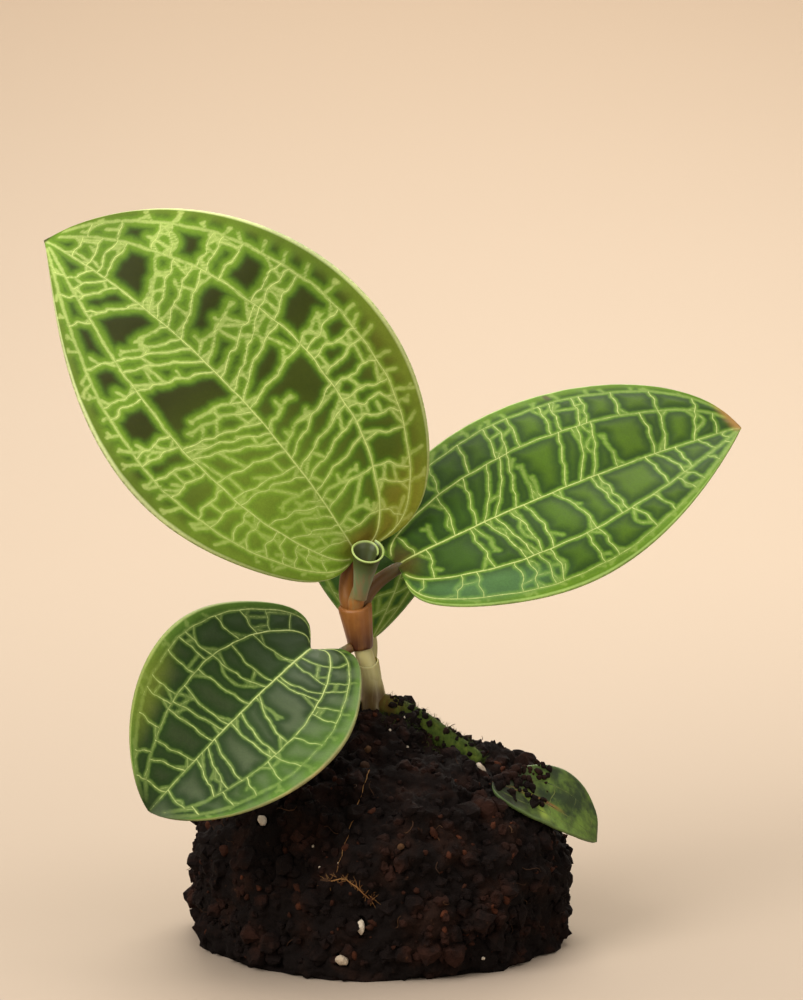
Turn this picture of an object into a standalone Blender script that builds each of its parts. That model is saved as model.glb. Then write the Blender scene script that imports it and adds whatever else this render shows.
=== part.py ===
# A young jewel orchid: three netted leaves, a hidden back leaf, a rolled new leaf and an old fallen
# leaf on a short stem, standing in its bare ball of potting mix.
# Metres, +Z up, front faces -Y. The origin is the centre of the root ball's flat underside.
import math

import bmesh
import bpy
from mathutils import Matrix, Vector, noise
from mathutils.bvhtree import BVHTree

MM = 0.001
GAP = 0.3 * MM  # left between pieces that touch on the plant
BLADE_THICKNESS = 0.62 * MM
NERVE_RELIEF = 0.28 * MM
NERVE_REACH = 0.05  # share of the half width over which a nerve's ridge falls away
NERVE_FULL_WIDTH = 10.0 * MM  # half width of blade at which the ridges have their full height
FOLD_RADIUS = 1.5 * MM  # how softly the two halves of a blade meet at the midrib
LOBE_PLACE = 0.06  # share of the length at which the basal lobes reach furthest back
BLADE_ROWS = 22
ROW_POWER = 1.4  # rows stand closer together near a blade's base
COLUMN_SPACING = 0.14  # widest stretch between two columns, as a share of the half width
CLOSEST_POINTS = 0.32 * MM  # points nearer than this are merged where a blade narrows

# Root ball: a mound whose outline runs from the top centre down to the foot, as (radius, height)
BALL_CENTRE = Vector((-0.6, 0.0, 0.0)) * MM
BALL_OUTLINE = [
    (0.0, 27.2), (4.0, 25.6), (8.5, 22.4), (14.0, 20.2), (18.0, 17.5), (20.3, 13.5), (21.3, 8.0), (21.0, 0.0),
]
BALL_RIM_ANGLE = 116.0  # polar angle of the foot's edge on the sphere that the mound is shaped from
CRUMB_SIZE = 3.0 * MM
CRUMB_RELIEF = 1.5 * MM
CLOD_SIZE = 7.8 * MM  # the larger lumps that carry the crumbs

# Stem: upright stretch from inside the ball to the leaves, and the old creeping stretch on the slope
STEM_PATH = [
    (-1.2, 0.0, 12.0), (-1.2, 0.0, 25.0), (-1.35, 0.0, 28.5),
    (-1.9, 0.05, 31.0), (-2.7, 0.1, 33.3), (-3.15, 0.22, 36.0),
]
STEM_RADII = [1.0, 1.1, 1.1, 1.05, 1.1, 1.15]
CREEPING_PATH = [
    (-1.3, 0.0, 26.9), (1.2, -0.2, 26.0), (4.2, -0.6, 24.4),
    (7.2, -1.5, 22.6), (9.2, -2.8, 21.6), (10.8, -3.9, 20.8),
]
CREEPING_RADII = [1.3, 1.5, 1.45, 1.3, 1.1, 0.8]

# Brown sheath of the lower left leaf, round the stem's top
SHEATH_FOOT = Vector((-2.62, 0.08, 32.9)) * MM
SHEATH_MOUTH = Vector((-3.45, 0.3, 37.9)) * MM
SHEATH_INNER_RADIUS = 1.48 * MM
SHEATH_WALL = 0.5 * MM
# Pale collar of the back leaf, lower on the stem
COLLAR_FOOT = Vector((-1.5, 0.0, 29.3)) * MM
COLLAR_MOUTH = Vector((-1.95, 0.05, 31.3)) * MM
COLLAR_INNER_RADIUS = 1.42 * MM
COLLAR_WALL = 0.6 * MM

# Each leaf: where the blade starts, how it is turned, its length, how far its midrib curls over,
# then for each side the half width, the outline's base and tip exponents and the lift in degrees
LEAVES = {
    "leaf_upper_left": dict(
        base=(-3.22, 1.0, 43.4), yaw=203.7, pitch=59.4, roll=-69.3, length=51.9, curl=51.5,
        bend=0.005, lobe=0.041, cup=-0.03,
        left=(18.3, 0.80, 1.10, -5.7), right=(18.5, 0.516, 0.741, 28.6),
        nerves=(-0.82, -0.51, 0.0, 0.54, 0.83),
    ),
    "leaf_right": dict(
        base=(1.34, 1.0, 42.33), yaw=18.5, pitch=26.0, roll=36.6, length=46.9, curl=23.3,
        bend=-0.052, lobe=0.058, cup=0.216,
        left=(15.7, 0.571, 0.564, 9.9), right=(15.2, 0.564, 1.039, 17.1),
        nerves=(-0.905, -0.57, 0.0, 0.51, 0.85),
    ),
    "leaf_lower_left": dict(
        base=(-8.22, -4.0, 33.7), yaw=245.5, pitch=-7.0, roll=-33.0, length=30.95, curl=51.6,
        bend=0.051, lobe=0.168, cup=-0.096,
        left=(12.1, 0.727, 0.687, 13.0), right=(11.9, 0.748, 0.767, 19.5),
        nerves=(-0.885, -0.57, 0.0, 0.56, 0.83),
    ),
    "leaf_back": dict(
        base=(-1.7, 2.9, 33.4), yaw=88.0, pitch=58.0, roll=0.0, length=34.0, curl=40.0,
        bend=0.0, lobe=0.0, cup=0.1,
        left=(9.0, 0.9, 0.9, 12.0), right=(9.0, 0.9, 0.9, 12.0),
        nerves=(-0.55, 0.0, 0.55),
    ),
    "old_leaf": dict(
        base=(11.9, -9.4, 19.7), yaw=12.0, pitch=-22.0, roll=43.0, length=15.3, curl=27.5,
        bend=0.061, lobe=0.0, cup=0.1,
        left=(6.3, 0.93, 0.50, 5.4), right=(3.1, 0.40, 0.80, 11.8),
        nerves=(0.0,),
    ),
}

# Petioles: points from the stem to just under the blade's base, with the radius at each
PETIOLES = {
    "leaf_upper_left": dict(
        points=[
            (-3.78, 0.57, 36.35), (-4.05, 0.64, 38.1), (-4.35, 0.8, 39.6),
            (-4.2, 1.0, 41.2), (-3.6, 1.35, 42.7),
        ],
        radii=[0.42, 0.42, 0.7, 0.85, 0.8],
    ),
    "leaf_right": dict(
        points=[
            (-2.6, 0.57, 36.35), (-2.87, 0.64, 38.1), (-2.1, 0.85, 39.4), (-0.7, 1.0, 40.6), (0.9, 1.2, 41.7),
        ],
        radii=[0.42, 0.42, 0.7, 0.85, 0.8],
    ),
    "leaf_lower_left": dict(
        points=[(-4.25, -1.0, 34.0), (-5.5, -2.1, 34.1), (-7.0, -3.2, 33.9), (-8.0, -3.9, 33.4)],
        radii=[0.8, 0.7, 0.65, 0.65],
    ),
    "leaf_back": dict(
        points=[(-1.2, 1.7, 30.2), (-1.0, 2.4, 31.5), (-1.3, 2.8, 32.8)],
        radii=[0.7, 0.75, 0.7],
    ),
}
MIDRIB_STATIONS = (0.02, 0.08, 0.16, 0.28)  # where the petiole runs on under the blade
MIDRIB_RADII = (0.7, 0.6, 0.48, 0.34)

# Rolled new leaf: a petiole and a funnel with an open side
ROLLED_STALK = [(-3.19, -0.45, 36.35), (-3.4, -0.42, 38.0), (-3.05, -0.95, 39.1), (-2.8, -1.2, 40.2)]
ROLLED_STALK_RADII = [0.42, 0.42, 0.65, 0.7]
ROLLED_FOOT = Vector((-2.9, -1.15, 38.9)) * MM
ROLLED_MOUTH = Vector((-1.85, -1.85, 44.6)) * MM
ROLLED_FOOT_RADIUS = 0.72 * MM
ROLLED_MOUTH_RADIUS = 1.75 * MM
ROLLED_ANGLE = 325.0
ROLLED_SLANT = 1.3 * MM  # how much higher the mouth is at the back
ROLLED_OPEN_AT = 35.0  # direction of the open seam, seen from above

# Perlite grains: direction round the ball in degrees, height, long and short diameters, tilt
PERLITE = [
    (-31.0, 20.4, 2.3, 1.3, 50.0),
    (-132.0, 16.4, 1.3, 1.0, 60.0),
    (-95.5, 6.1, 1.7, 1.0, 90.0),
    (-101.0, 2.4, 1.6, 1.2, 20.0),
    (64.0, 14.0, 1.7, 1.2, 15.0),
    (118.0, 7.0, 1.4, 1.1, 70.0),
    (12.0, 5.2, 1.6, 1.2, 40.0),
]

COLOURS = {
    "leaf": (0.12, 0.24, 0.05),
    "old_leaf": (0.10, 0.13, 0.03),
    "rolled_leaf": (0.16, 0.20, 0.08),
    "stem": (0.30, 0.26, 0.12),
    "potting_mix": (0.012, 0.008, 0.006),
    "perlite": (0.80, 0.76, 0.68),
}


def clear_scene():
    for thing in list(bpy.data.objects):
        bpy.data.objects.remove(thing)


def new_collection(name):
    collection = bpy.data.collections.new(name)
    bpy.context.scene.collection.children.link(collection)
    return collection


def new_material(name, colour, roughness):
    material = bpy.data.materials.new(name)
    material.use_nodes = True
    shader = material.node_tree.nodes["Principled BSDF"]
    shader.inputs["Base Color"].default_value = (*colour, 1.0)
    shader.inputs["Roughness"].default_value = roughness
    return material


def new_object(name, shape, material, collection):
    # shape is a bmesh, which ends here
    mesh = bpy.data.meshes.new(name)
    shape.to_mesh(mesh)
    shape.free()
    thing = bpy.data.objects.new(name, mesh)
    thing.data.materials.append(material)
    collection.objects.link(thing)
    return thing


def apply_modifiers(thing):
    graph = bpy.context.evaluated_depsgraph_get()
    mesh = bpy.data.meshes.new_from_object(thing.evaluated_get(graph))
    thing.modifiers.clear()
    thing.data = mesh


def boolean(thing, tools, operation):
    # each tool is joined to or cut from the thing, and removed
    for tool in tools:
        modifier = thing.modifiers.new(operation.lower(), "BOOLEAN")
        modifier.operation = operation
        modifier.solver = "EXACT"
        modifier.object = tool
    apply_modifiers(thing)
    for tool in tools:
        bpy.data.objects.remove(tool)


def keep_largest_body(thing):
    shape = bmesh.new()
    shape.from_mesh(thing.data)
    left = set(shape.verts)
    bodies = []
    while left:
        body = {left.pop()}
        front = list(body)
        while front:
            vertex = front.pop()
            for edge in vertex.link_edges:
                other = edge.other_vert(vertex)
                if other in left:
                    left.remove(other)
                    body.add(other)
                    front.append(other)
        bodies.append(body)
    bodies.sort(key=len)
    for body in bodies[:-1]:
        bmesh.ops.delete(shape, geom=list(body), context="VERTS")
    shape.to_mesh(thing.data)
    shape.free()


def merge_close_points(thing, distance):
    shape = bmesh.new()
    shape.from_mesh(thing.data)
    bmesh.ops.remove_doubles(shape, verts=shape.verts, dist=distance)
    bmesh.ops.dissolve_degenerate(shape, edges=shape.edges, dist=distance)
    bmesh.ops.triangulate(shape, faces=shape.faces)
    shape.to_mesh(thing.data)
    shape.free()


def rod(name, points, radii, material, collection, sides=2):
    # a round rod through the points, as a closed mesh
    curve = bpy.data.curves.new(name, "CURVE")
    curve.dimensions = "3D"
    curve.bevel_depth = 1.0
    curve.bevel_resolution = sides
    curve.use_fill_caps = True
    curve.resolution_u = 3
    spline = curve.splines.new("NURBS")
    spline.points.add(len(points) - 1)
    spline.order_u = 3
    spline.use_endpoint_u = True
    for point, place, radius in zip(spline.points, points, radii):
        point.co = (*(Vector(place) * MM), 1.0)
        point.radius = radius * MM
    guide = bpy.data.objects.new(name + "_guide", curve)
    collection.objects.link(guide)
    graph = bpy.context.evaluated_depsgraph_get()
    mesh = bpy.data.meshes.new_from_object(guide.evaluated_get(graph))
    shape = bmesh.new()
    shape.from_mesh(mesh)
    bmesh.ops.remove_doubles(shape, verts=shape.verts, dist=1e-6)
    bmesh.ops.recalc_face_normals(shape, faces=shape.faces)
    bpy.data.objects.remove(guide)
    return new_object(name, shape, material, collection)


def fattened(thing, amount, collection):
    # a copy that stands out by the amount all round, to cut a seat with
    copy = thing.copy()
    copy.data = thing.data.copy()
    collection.objects.link(copy)
    shape = bmesh.new()
    shape.from_mesh(copy.data)
    shape.normal_update()
    moves = [vertex.normal * amount * max(1.0, vertex.calc_shell_factor()) for vertex in shape.verts]
    for vertex, move in zip(shape.verts, moves):
        vertex.co += move
    shape.to_mesh(copy.data)
    shape.free()
    return copy


def leaf_axes(leaf):
    yaw = math.radians(leaf["yaw"])
    pitch = math.radians(leaf["pitch"])
    roll = math.radians(leaf["roll"])
    along = Vector((math.cos(yaw) * math.cos(pitch), math.sin(yaw) * math.cos(pitch), math.sin(pitch)))
    level = Vector((-math.sin(yaw), math.cos(yaw), 0.0))
    across = level * math.cos(roll) + along.cross(level) * math.sin(roll)
    return along, across, along.cross(across)


def outline(t, side):
    width, base_power, tip_power, _ = side
    widest = base_power / (base_power + tip_power)
    share = t**base_power * (1.0 - t) ** tip_power
    return width * MM * share / (widest**base_power * (1.0 - widest) ** tip_power)


def leaf_point(leaf, t, s, raised=0.0):
    # t runs from the blade's base to its tip, s from the right margin (-1) over the midrib to the left (1)
    along, across, up = leaf_axes(leaf)
    length = leaf["length"] * MM
    side = leaf["left"] if s > 0 else leaf["right"]
    lobe = leaf["lobe"] * (t / LOBE_PLACE) * math.exp(1.0 - t / LOBE_PLACE)
    reach = length * (t - lobe * abs(s) ** 1.5)
    offset = s * outline(t, side)
    turn = math.radians(leaf["curl"]) / length
    forward = math.sin(turn * reach) / turn
    drop = (1.0 - math.cos(turn * reach)) / turn
    lift = math.radians(side[3])
    share = reach / length
    sideways = offset * math.cos(lift) + leaf["bend"] * length * share * (1.0 - share)
    spread = math.hypot(offset, FOLD_RADIUS) - FOLD_RADIUS
    rise = spread * math.sin(lift) - leaf["cup"] * offset**2 / (leaf["left"][0] * MM) + raised
    place = along * (forward + rise * math.sin(turn * reach)) + across * sideways
    return Vector(leaf["base"]) * MM + place + up * (rise * math.cos(turn * reach) - drop)


def blade_columns(nerves):
    # places across the blade: each nerve with its two sides, the stretches between, and the margins
    columns = {-1.0, 1.0}
    for nerve in nerves:
        columns.update((nerve - NERVE_REACH, nerve, nerve + NERVE_REACH))
    stops = sorted(columns)
    for low, high in zip(stops, stops[1:]):
        if high - low > COLUMN_SPACING:
            columns.add((low + high) / 2.0)
    return sorted(columns)


def nerve_ridge(leaf, t, s):
    # lower where the blade is narrow, so that the ridges never grow steep
    nearest = min(abs(s - nerve) for nerve in leaf["nerves"])
    half_width = outline(t, leaf["left"] if s > 0 else leaf["right"])
    height = NERVE_RELIEF * min(1.0, half_width / NERVE_FULL_WIDTH)
    return height * max(0.0, 1.0 - nearest / NERVE_REACH)


def blade(name, leaf, material, collection, rows=BLADE_ROWS):
    columns = blade_columns(leaf["nerves"])
    shape = bmesh.new()
    bmesh.ops.create_grid(shape, x_segments=rows, y_segments=len(columns) - 1, size=1.0)
    for vertex in shape.verts:
        t = ((vertex.co.x + 1.0) / 2.0) ** ROW_POWER
        s = columns[round((vertex.co.y + 1.0) / 2.0 * (len(columns) - 1))]
        vertex.co = leaf_point(leaf, t, s, nerve_ridge(leaf, t, s))
    bmesh.ops.remove_doubles(shape, verts=shape.verts, dist=CLOSEST_POINTS)
    bmesh.ops.dissolve_degenerate(shape, edges=shape.edges, dist=1e-6)
    bmesh.ops.triangulate(shape, faces=shape.faces)
    thing = new_object(name, shape, material, collection)
    thickness = thing.modifiers.new("thickness", "SOLIDIFY")
    thickness.thickness = BLADE_THICKNESS
    thickness.offset = 0.0
    apply_modifiers(thing)
    return thing


def petiole(name, material, collection):
    # runs on under the blade as the midrib's keel
    points = list(PETIOLES[name]["points"])
    radii = list(PETIOLES[name]["radii"])
    leaf = LEAVES[name]
    for t, radius in zip(MIDRIB_STATIONS, MIDRIB_RADII):
        under = leaf_point(leaf, t, 0.0, -0.8 * radius * MM + 0.1 * MM)
        points.append(tuple(under / MM))
        radii.append(radius)
    return rod(name + "_petiole", points, radii, material, collection)


def clasping_tube(name, foot, mouth, inner_radius, wall, material, collection):
    # an open cylinder with a wall, along the line from foot to mouth
    shape = bmesh.new()
    span = mouth - foot
    middle = inner_radius + wall / 2.0
    bmesh.ops.create_cone(
        shape, segments=20, radius1=middle, radius2=middle, depth=span.length, cap_ends=False
    )
    turn = Vector((0.0, 0.0, 1.0)).rotation_difference(span).to_matrix().to_4x4()
    bmesh.ops.transform(shape, matrix=Matrix.Translation((foot + mouth) / 2.0) @ turn, verts=shape.verts)
    thing = new_object(name, shape, material, collection)
    thickness = thing.modifiers.new("wall", "SOLIDIFY")
    thickness.thickness = wall
    thickness.offset = 0.0
    apply_modifiers(thing)
    return thing


def new_bore(name, foot, mouth, radius, material, collection):
    # a cylinder that runs past both ends of a sheath
    shape = bmesh.new()
    span = mouth - foot
    bmesh.ops.create_cone(
        shape, segments=20, radius1=radius, radius2=radius, depth=span.length + 2.0 * MM, cap_ends=True
    )
    turn = Vector((0.0, 0.0, 1.0)).rotation_difference(span).to_matrix().to_4x4()
    bmesh.ops.transform(shape, matrix=Matrix.Translation((foot + mouth) / 2.0) @ turn, verts=shape.verts)
    return new_object(name, shape, material, collection)


def netted_leaf(name, material, collection):
    thing = blade(name, LEAVES[name], material, collection)
    boolean(thing, [petiole(name, material, collection)], "UNION")
    return thing


def sheathed_leaf(name, foot, mouth, inner_radius, wall, material, collection):
    # a leaf whose petiole springs from a tube round the stem, which stays open for the stem
    thing = netted_leaf(name, material, collection)
    tube = clasping_tube(name + "_sheath", foot, mouth, inner_radius, wall, material, collection)
    boolean(thing, [tube], "UNION")
    clearance = new_bore(name + "_bore", foot, mouth, inner_radius, material, collection)
    boolean(thing, [clearance], "DIFFERENCE")
    keep_largest_body(thing)
    return thing


def rolled_leaf(material, collection):
    shape = bmesh.new()
    turns = 18
    rows = 7
    bmesh.ops.create_grid(shape, x_segments=turns, y_segments=rows, size=1.0)
    span = ROLLED_MOUTH - ROLLED_FOOT
    turn = Vector((0.0, 0.0, 1.0)).rotation_difference(span).to_matrix()
    for vertex in shape.verts:
        around = (vertex.co.x + 1.0) / 2.0
        height = (vertex.co.y + 1.0) / 2.0
        angle = math.radians(ROLLED_OPEN_AT + (360.0 - ROLLED_ANGLE) / 2.0 + ROLLED_ANGLE * around)
        radius = ROLLED_FOOT_RADIUS + (ROLLED_MOUTH_RADIUS - ROLLED_FOOT_RADIUS) * height**1.5
        slant = ROLLED_SLANT * math.sin(angle) * height**2 / 2.0
        across = Vector((math.cos(angle), math.sin(angle), 0.0)) * radius
        vertex.co = ROLLED_FOOT + span * height + turn @ (across + Vector((0.0, 0.0, slant)))
    bmesh.ops.recalc_face_normals(shape, faces=shape.faces)
    thing = new_object("rolled_leaf", shape, material, collection)
    thickness = thing.modifiers.new("thickness", "SOLIDIFY")
    thickness.thickness = BLADE_THICKNESS
    thickness.offset = 0.0
    apply_modifiers(thing)
    stalk = rod("rolled_leaf_stalk", ROLLED_STALK, ROLLED_STALK_RADII, material, collection)
    boolean(thing, [stalk], "UNION")
    keep_largest_body(thing)
    return thing


def stem(material, collection):
    thing = rod("stem", STEM_PATH, STEM_RADII, material, collection, sides=3)
    creeping = rod("creeping_stem", CREEPING_PATH, CREEPING_RADII, material, collection)
    boolean(thing, [creeping], "UNION")
    return thing


def outline_lengths():
    lengths = [0.0]
    for low, high in zip(BALL_OUTLINE, BALL_OUTLINE[1:]):
        lengths.append(lengths[-1] + math.dist(low, high))
    return lengths


def outline_place(share):
    # radius and height at a share of the way down the mound's outline
    lengths = outline_lengths()
    wanted = share * lengths[-1]
    for index in range(1, len(lengths)):
        if wanted <= lengths[index] or index == len(lengths) - 1:
            part = (wanted - lengths[index - 1]) / (lengths[index] - lengths[index - 1])
            low = Vector(BALL_OUTLINE[index - 1])
            high = Vector(BALL_OUTLINE[index])
            return low.lerp(high, part) * MM


def crumbs(place):
    cells = noise.voronoi(place / CRUMB_SIZE)[0]
    clods = noise.fractal(place / CLOD_SIZE, 0.7, 2.0, 3)
    return CRUMB_RELIEF * (0.8 * (0.45 - cells[0]) + 0.6 * clods)


def root_ball(material, collection):
    shape = bmesh.new()
    bmesh.ops.create_icosphere(shape, subdivisions=5, radius=1.0)
    rim = math.radians(BALL_RIM_ANGLE)
    foot_radius = BALL_OUTLINE[-1][0] * MM
    for vertex in shape.verts:
        polar = math.acos(max(-1.0, min(1.0, vertex.co.z)))
        angle = math.atan2(vertex.co.y, vertex.co.x)
        if polar < rim:
            radius, height = outline_place(polar / rim)
        else:
            radius = foot_radius * math.sqrt((1.0 + math.cos(polar)) / (1.0 + math.cos(rim)))
            height = 0.0
        around = Vector((math.cos(angle), math.sin(angle), 0.0))
        place = around * radius + Vector((0.0, 0.0, height))
        relief = crumbs(place)
        place += around * relief * min(1.0, radius / (4.0 * MM))
        if height > 0.0:
            place.z = max(0.0, height + 0.7 * relief * min(1.0, height / (6.0 * MM)))
        vertex.co = BALL_CENTRE + place
    bmesh.ops.dissolve_limit(shape, angle_limit=math.radians(0.5), verts=shape.verts, edges=shape.edges)
    bmesh.ops.triangulate(shape, faces=shape.faces)
    return new_object("root_ball", shape, material, collection)


def surface_finder(thing):
    shape = bmesh.new()
    shape.from_mesh(thing.data)
    tree = BVHTree.FromBMesh(shape)
    shape.free()
    return tree


def perlite_grain(name, finder, grain, material, collection):
    direction, height, long_size, short_size, tilt = grain
    angle = math.radians(direction)
    outward = Vector((math.cos(angle), math.sin(angle), 0.0))
    outside = outward * 2.0 * BALL_OUTLINE[-1][0] * MM
    start = BALL_CENTRE + outside + Vector((0.0, 0.0, height * MM))
    place = finder.ray_cast(start, -outward)[0]
    shape = bmesh.new()
    bmesh.ops.create_icosphere(shape, subdivisions=2, radius=0.5 * MM)
    for vertex in shape.verts:
        vertex.co *= 1.0 + 0.35 * noise.noise(vertex.co / (0.4 * MM) + Vector((direction, height, 0.0)))
    sizes = Matrix.Diagonal((long_size, short_size, short_size, 1.0))
    turn = Matrix.Rotation(angle + math.pi / 2.0, 4, "Z") @ Matrix.Rotation(math.radians(tilt), 4, "Y")
    bmesh.ops.transform(shape, matrix=Matrix.Translation(place) @ turn @ sizes, verts=shape.verts)
    return new_object(name, shape, material, collection)


def build():
    clear_scene()
    plant = new_collection("jewel_orchid")
    leaf_green = new_material("leaf", COLOURS["leaf"], 0.45)
    stem_tan = new_material("stem", COLOURS["stem"], 0.5)
    netted_leaf("leaf_upper_left", leaf_green, plant)
    netted_leaf("leaf_right", leaf_green, plant)
    sheathed_leaf(
        "leaf_lower_left", SHEATH_FOOT, SHEATH_MOUTH, SHEATH_INNER_RADIUS, SHEATH_WALL, leaf_green, plant
    )
    sheathed_leaf("leaf_back", COLLAR_FOOT, COLLAR_MOUTH, COLLAR_INNER_RADIUS, COLLAR_WALL, leaf_green, plant)
    rolled_leaf(new_material("rolled_leaf", COLOURS["rolled_leaf"], 0.5), plant)
    upright = stem(stem_tan, plant)
    old_green = new_material("old_leaf", COLOURS["old_leaf"], 0.6)
    old = blade("old_leaf", LEAVES["old_leaf"], old_green, plant, rows=12)
    ball = root_ball(new_material("potting_mix", COLOURS["potting_mix"], 0.95), plant)
    finder = surface_finder(ball)
    perlite_white = new_material("perlite", COLOURS["perlite"], 0.9)
    grains = [
        perlite_grain(f"perlite_{index + 1}", finder, grain, perlite_white, plant)
        for index, grain in enumerate(PERLITE)
    ]
    seats = [fattened(thing, GAP, plant) for thing in [upright, old, *grains]]
    boolean(ball, seats, "DIFFERENCE")
    keep_largest_body(ball)
    for thing in plant.objects:
        merge_close_points(thing, 1e-6)
        thing.data.shade_smooth()
        thing.data.set_sharp_from_angle(angle=math.radians(50.0))


build()
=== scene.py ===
# The looks of a young jewel orchid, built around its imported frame.
import math

import bmesh
import bpy
import numpy as np
from mathutils import Matrix, Vector, kdtree, noise
from mathutils.bvhtree import BVHTree


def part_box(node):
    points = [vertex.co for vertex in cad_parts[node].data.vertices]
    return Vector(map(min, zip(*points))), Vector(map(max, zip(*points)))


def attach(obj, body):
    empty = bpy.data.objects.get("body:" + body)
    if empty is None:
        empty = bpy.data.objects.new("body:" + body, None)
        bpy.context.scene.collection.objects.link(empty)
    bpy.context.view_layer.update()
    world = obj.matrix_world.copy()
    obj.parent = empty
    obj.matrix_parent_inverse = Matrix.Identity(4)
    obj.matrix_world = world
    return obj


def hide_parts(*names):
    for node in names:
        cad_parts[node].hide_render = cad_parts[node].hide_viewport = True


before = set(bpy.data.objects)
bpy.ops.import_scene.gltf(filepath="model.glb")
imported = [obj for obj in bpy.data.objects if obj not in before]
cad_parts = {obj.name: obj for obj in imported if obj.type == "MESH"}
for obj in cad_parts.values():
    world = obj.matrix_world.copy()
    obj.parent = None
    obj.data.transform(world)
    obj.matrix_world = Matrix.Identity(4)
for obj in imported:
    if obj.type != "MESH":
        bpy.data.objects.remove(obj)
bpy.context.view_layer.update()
mm = 0.001
pieces = bpy.data.collections.new("orchidLooks")
bpy.context.scene.collection.children.link(pieces)


# Camera and studio

camera = {
    "lens": 144.64,  # in millimetres, for a sensor as high as the picture
    "sensor": 36.0,
    "picture": (803, 1000),
    "distance": 0.45,
    "elevation": 8.0,
    "target": (0.00185, 0.0, 0.0499),
}

studio = {
    "floorColour": (0.345, 0.277, 0.215),
    "wallColour": (0.290, 0.216, 0.152),
    "blendHeight": 0.16,  # the floor's colour has become the wall's here
    "wallDistance": 0.55,
    "wallTop": 1.6,
    "sweepRadius": 0.25,
    "sweepSteps": 12,
    "halfWidth": 1.6,
    "frontReach": 1.0,
    "worldColour": (1.0, 0.94, 0.87),
    "worldStrength": 0.42,
    "lampAim": (0.0, 0.0, 0.045),
}

lamps = {
    "skyBehind": {"place": (0.06, 0.36, 0.40), "size": 0.40, "power": 3.7, "colour": (1.0, 0.98, 0.90)},
    "windowLeft": {"place": (-0.34, -0.34, 0.38), "size": 0.34, "power": 3.1, "colour": (1.0, 0.98, 0.94)},
    "fillRight": {"place": (0.40, -0.45, 0.16), "size": 0.40, "power": 0.9, "colour": (1.0, 0.97, 0.92)},
    "wallGlow": {
        "place": (0.0, 0.10, 0.75), "size": 0.8, "power": 5.0, "colour": (1.0, 0.96, 0.92),
        "aim": (0.0, 0.55, 0.1),
    },
}


def cameraPlace():
    # where the camera stands, and the direction from its target back to it
    tilt = math.radians(camera["elevation"])
    back = Vector((0.0, -math.cos(tilt), math.sin(tilt)))
    return Vector(camera["target"]) + camera["distance"] * back, back


def placeCamera():
    lens = bpy.data.cameras.new("photoCamera")
    lens.lens = camera["lens"]
    lens.sensor_width = camera["sensor"]
    lens.sensor_fit = "AUTO"
    lens.clip_start = 0.01
    eye = bpy.data.objects.new("photoCamera", lens)
    eye.location, back = cameraPlace()
    eye.rotation_euler = back.to_track_quat("Z", "Y").to_euler()
    bpy.context.scene.collection.objects.link(eye)
    bpy.context.scene.camera = eye


def placeLamps():
    for name, lamp in lamps.items():
        light = bpy.data.lights.new(name, "AREA")
        light.energy = lamp["power"]
        light.size = lamp["size"]
        light.color = lamp["colour"]
        thing = bpy.data.objects.new(name, light)
        thing.location = lamp["place"]
        aim = Vector(lamp.get("aim", studio["lampAim"]))
        thing.rotation_euler = (thing.location - aim).to_track_quat("Z", "Y").to_euler()
        bpy.context.scene.collection.objects.link(thing)


def placeWorld():
    world = bpy.data.worlds.new("studioWorld")
    world.use_nodes = True
    background = world.node_tree.nodes["Background"]
    background.inputs["Color"].default_value = (*studio["worldColour"], 1.0)
    background.inputs["Strength"].default_value = studio["worldStrength"]
    bpy.context.scene.world = world
    bpy.context.scene.view_settings.view_transform = "Standard"


# Small helpers for meshes and node trees


def addThing(name, mesh, material=None):
    mesh.materials.clear()
    if material:
        mesh.materials.append(material)
    thing = bpy.data.objects.new(name, mesh)
    pieces.objects.link(thing)
    return thing


def addMesh(name, vertices, faces, material=None):
    mesh = bpy.data.meshes.new(name)
    mesh.from_pydata(vertices, [], faces)
    mesh.shade_smooth()
    return addThing(name, mesh, material)


def meshFrom(shape, name):
    mesh = bpy.data.meshes.new(name)
    shape.to_mesh(mesh)
    shape.free()
    mesh.shade_smooth()
    return mesh


def editMesh(mesh, mergeWithin=0.0, move=None, freshNormals=True):
    # merges points, turns the faces outwards and moves each point by what move gives for it
    shape = bmesh.new()
    shape.from_mesh(mesh)
    if mergeWithin:
        bmesh.ops.remove_doubles(shape, verts=shape.verts, dist=mergeWithin)
    bmesh.ops.recalc_face_normals(shape, faces=shape.faces)
    if move:
        if freshNormals:
            shape.normal_update()
        moves = [move(vertex) for vertex in shape.verts]
        for vertex, shift in zip(shape.verts, moves):
            vertex.co += shift
    shape.to_mesh(mesh)
    shape.free()
    mesh.shade_smooth()


def evaluatedMesh(thing):
    graph = bpy.context.evaluated_depsgraph_get()
    return bpy.data.meshes.new_from_object(thing.evaluated_get(graph))


def bake(thing):
    # the evaluated shape in place of the modifiers
    mesh = evaluatedMesh(thing)
    thing.modifiers.clear()
    thing.data = mesh


def refine(thing, kind):
    finer = thing.modifiers.new("finer", "SUBSURF")
    finer.subdivision_type = kind
    finer.levels = 2
    finer.render_levels = 2
    bake(thing)


def settle(thing, node=None):
    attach(thing, "root")
    if node:
        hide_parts(node)
    print(thing.name, len(thing.data.polygons), "faces")


def unit(rows):
    return rows / np.maximum(np.linalg.norm(rows, axis=-1, keepdims=True), 1e-12)


def sheetQuads(index):
    # the faces between neighbouring rows and columns of point numbers
    corners = [index[:-1, :-1], index[1:, :-1], index[1:, 1:], index[:-1, 1:]]
    return np.stack(corners, axis=-1).reshape(-1, 4)


def ringQuads(index):
    # the faces of a tube, with one ring of point numbers in each row
    turned = np.roll(index, -1, axis=1)
    corners = [index[:-1], turned[:-1], turned[1:], index[1:]]
    return np.stack(corners, axis=-1).reshape(-1, 4).tolist()


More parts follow.
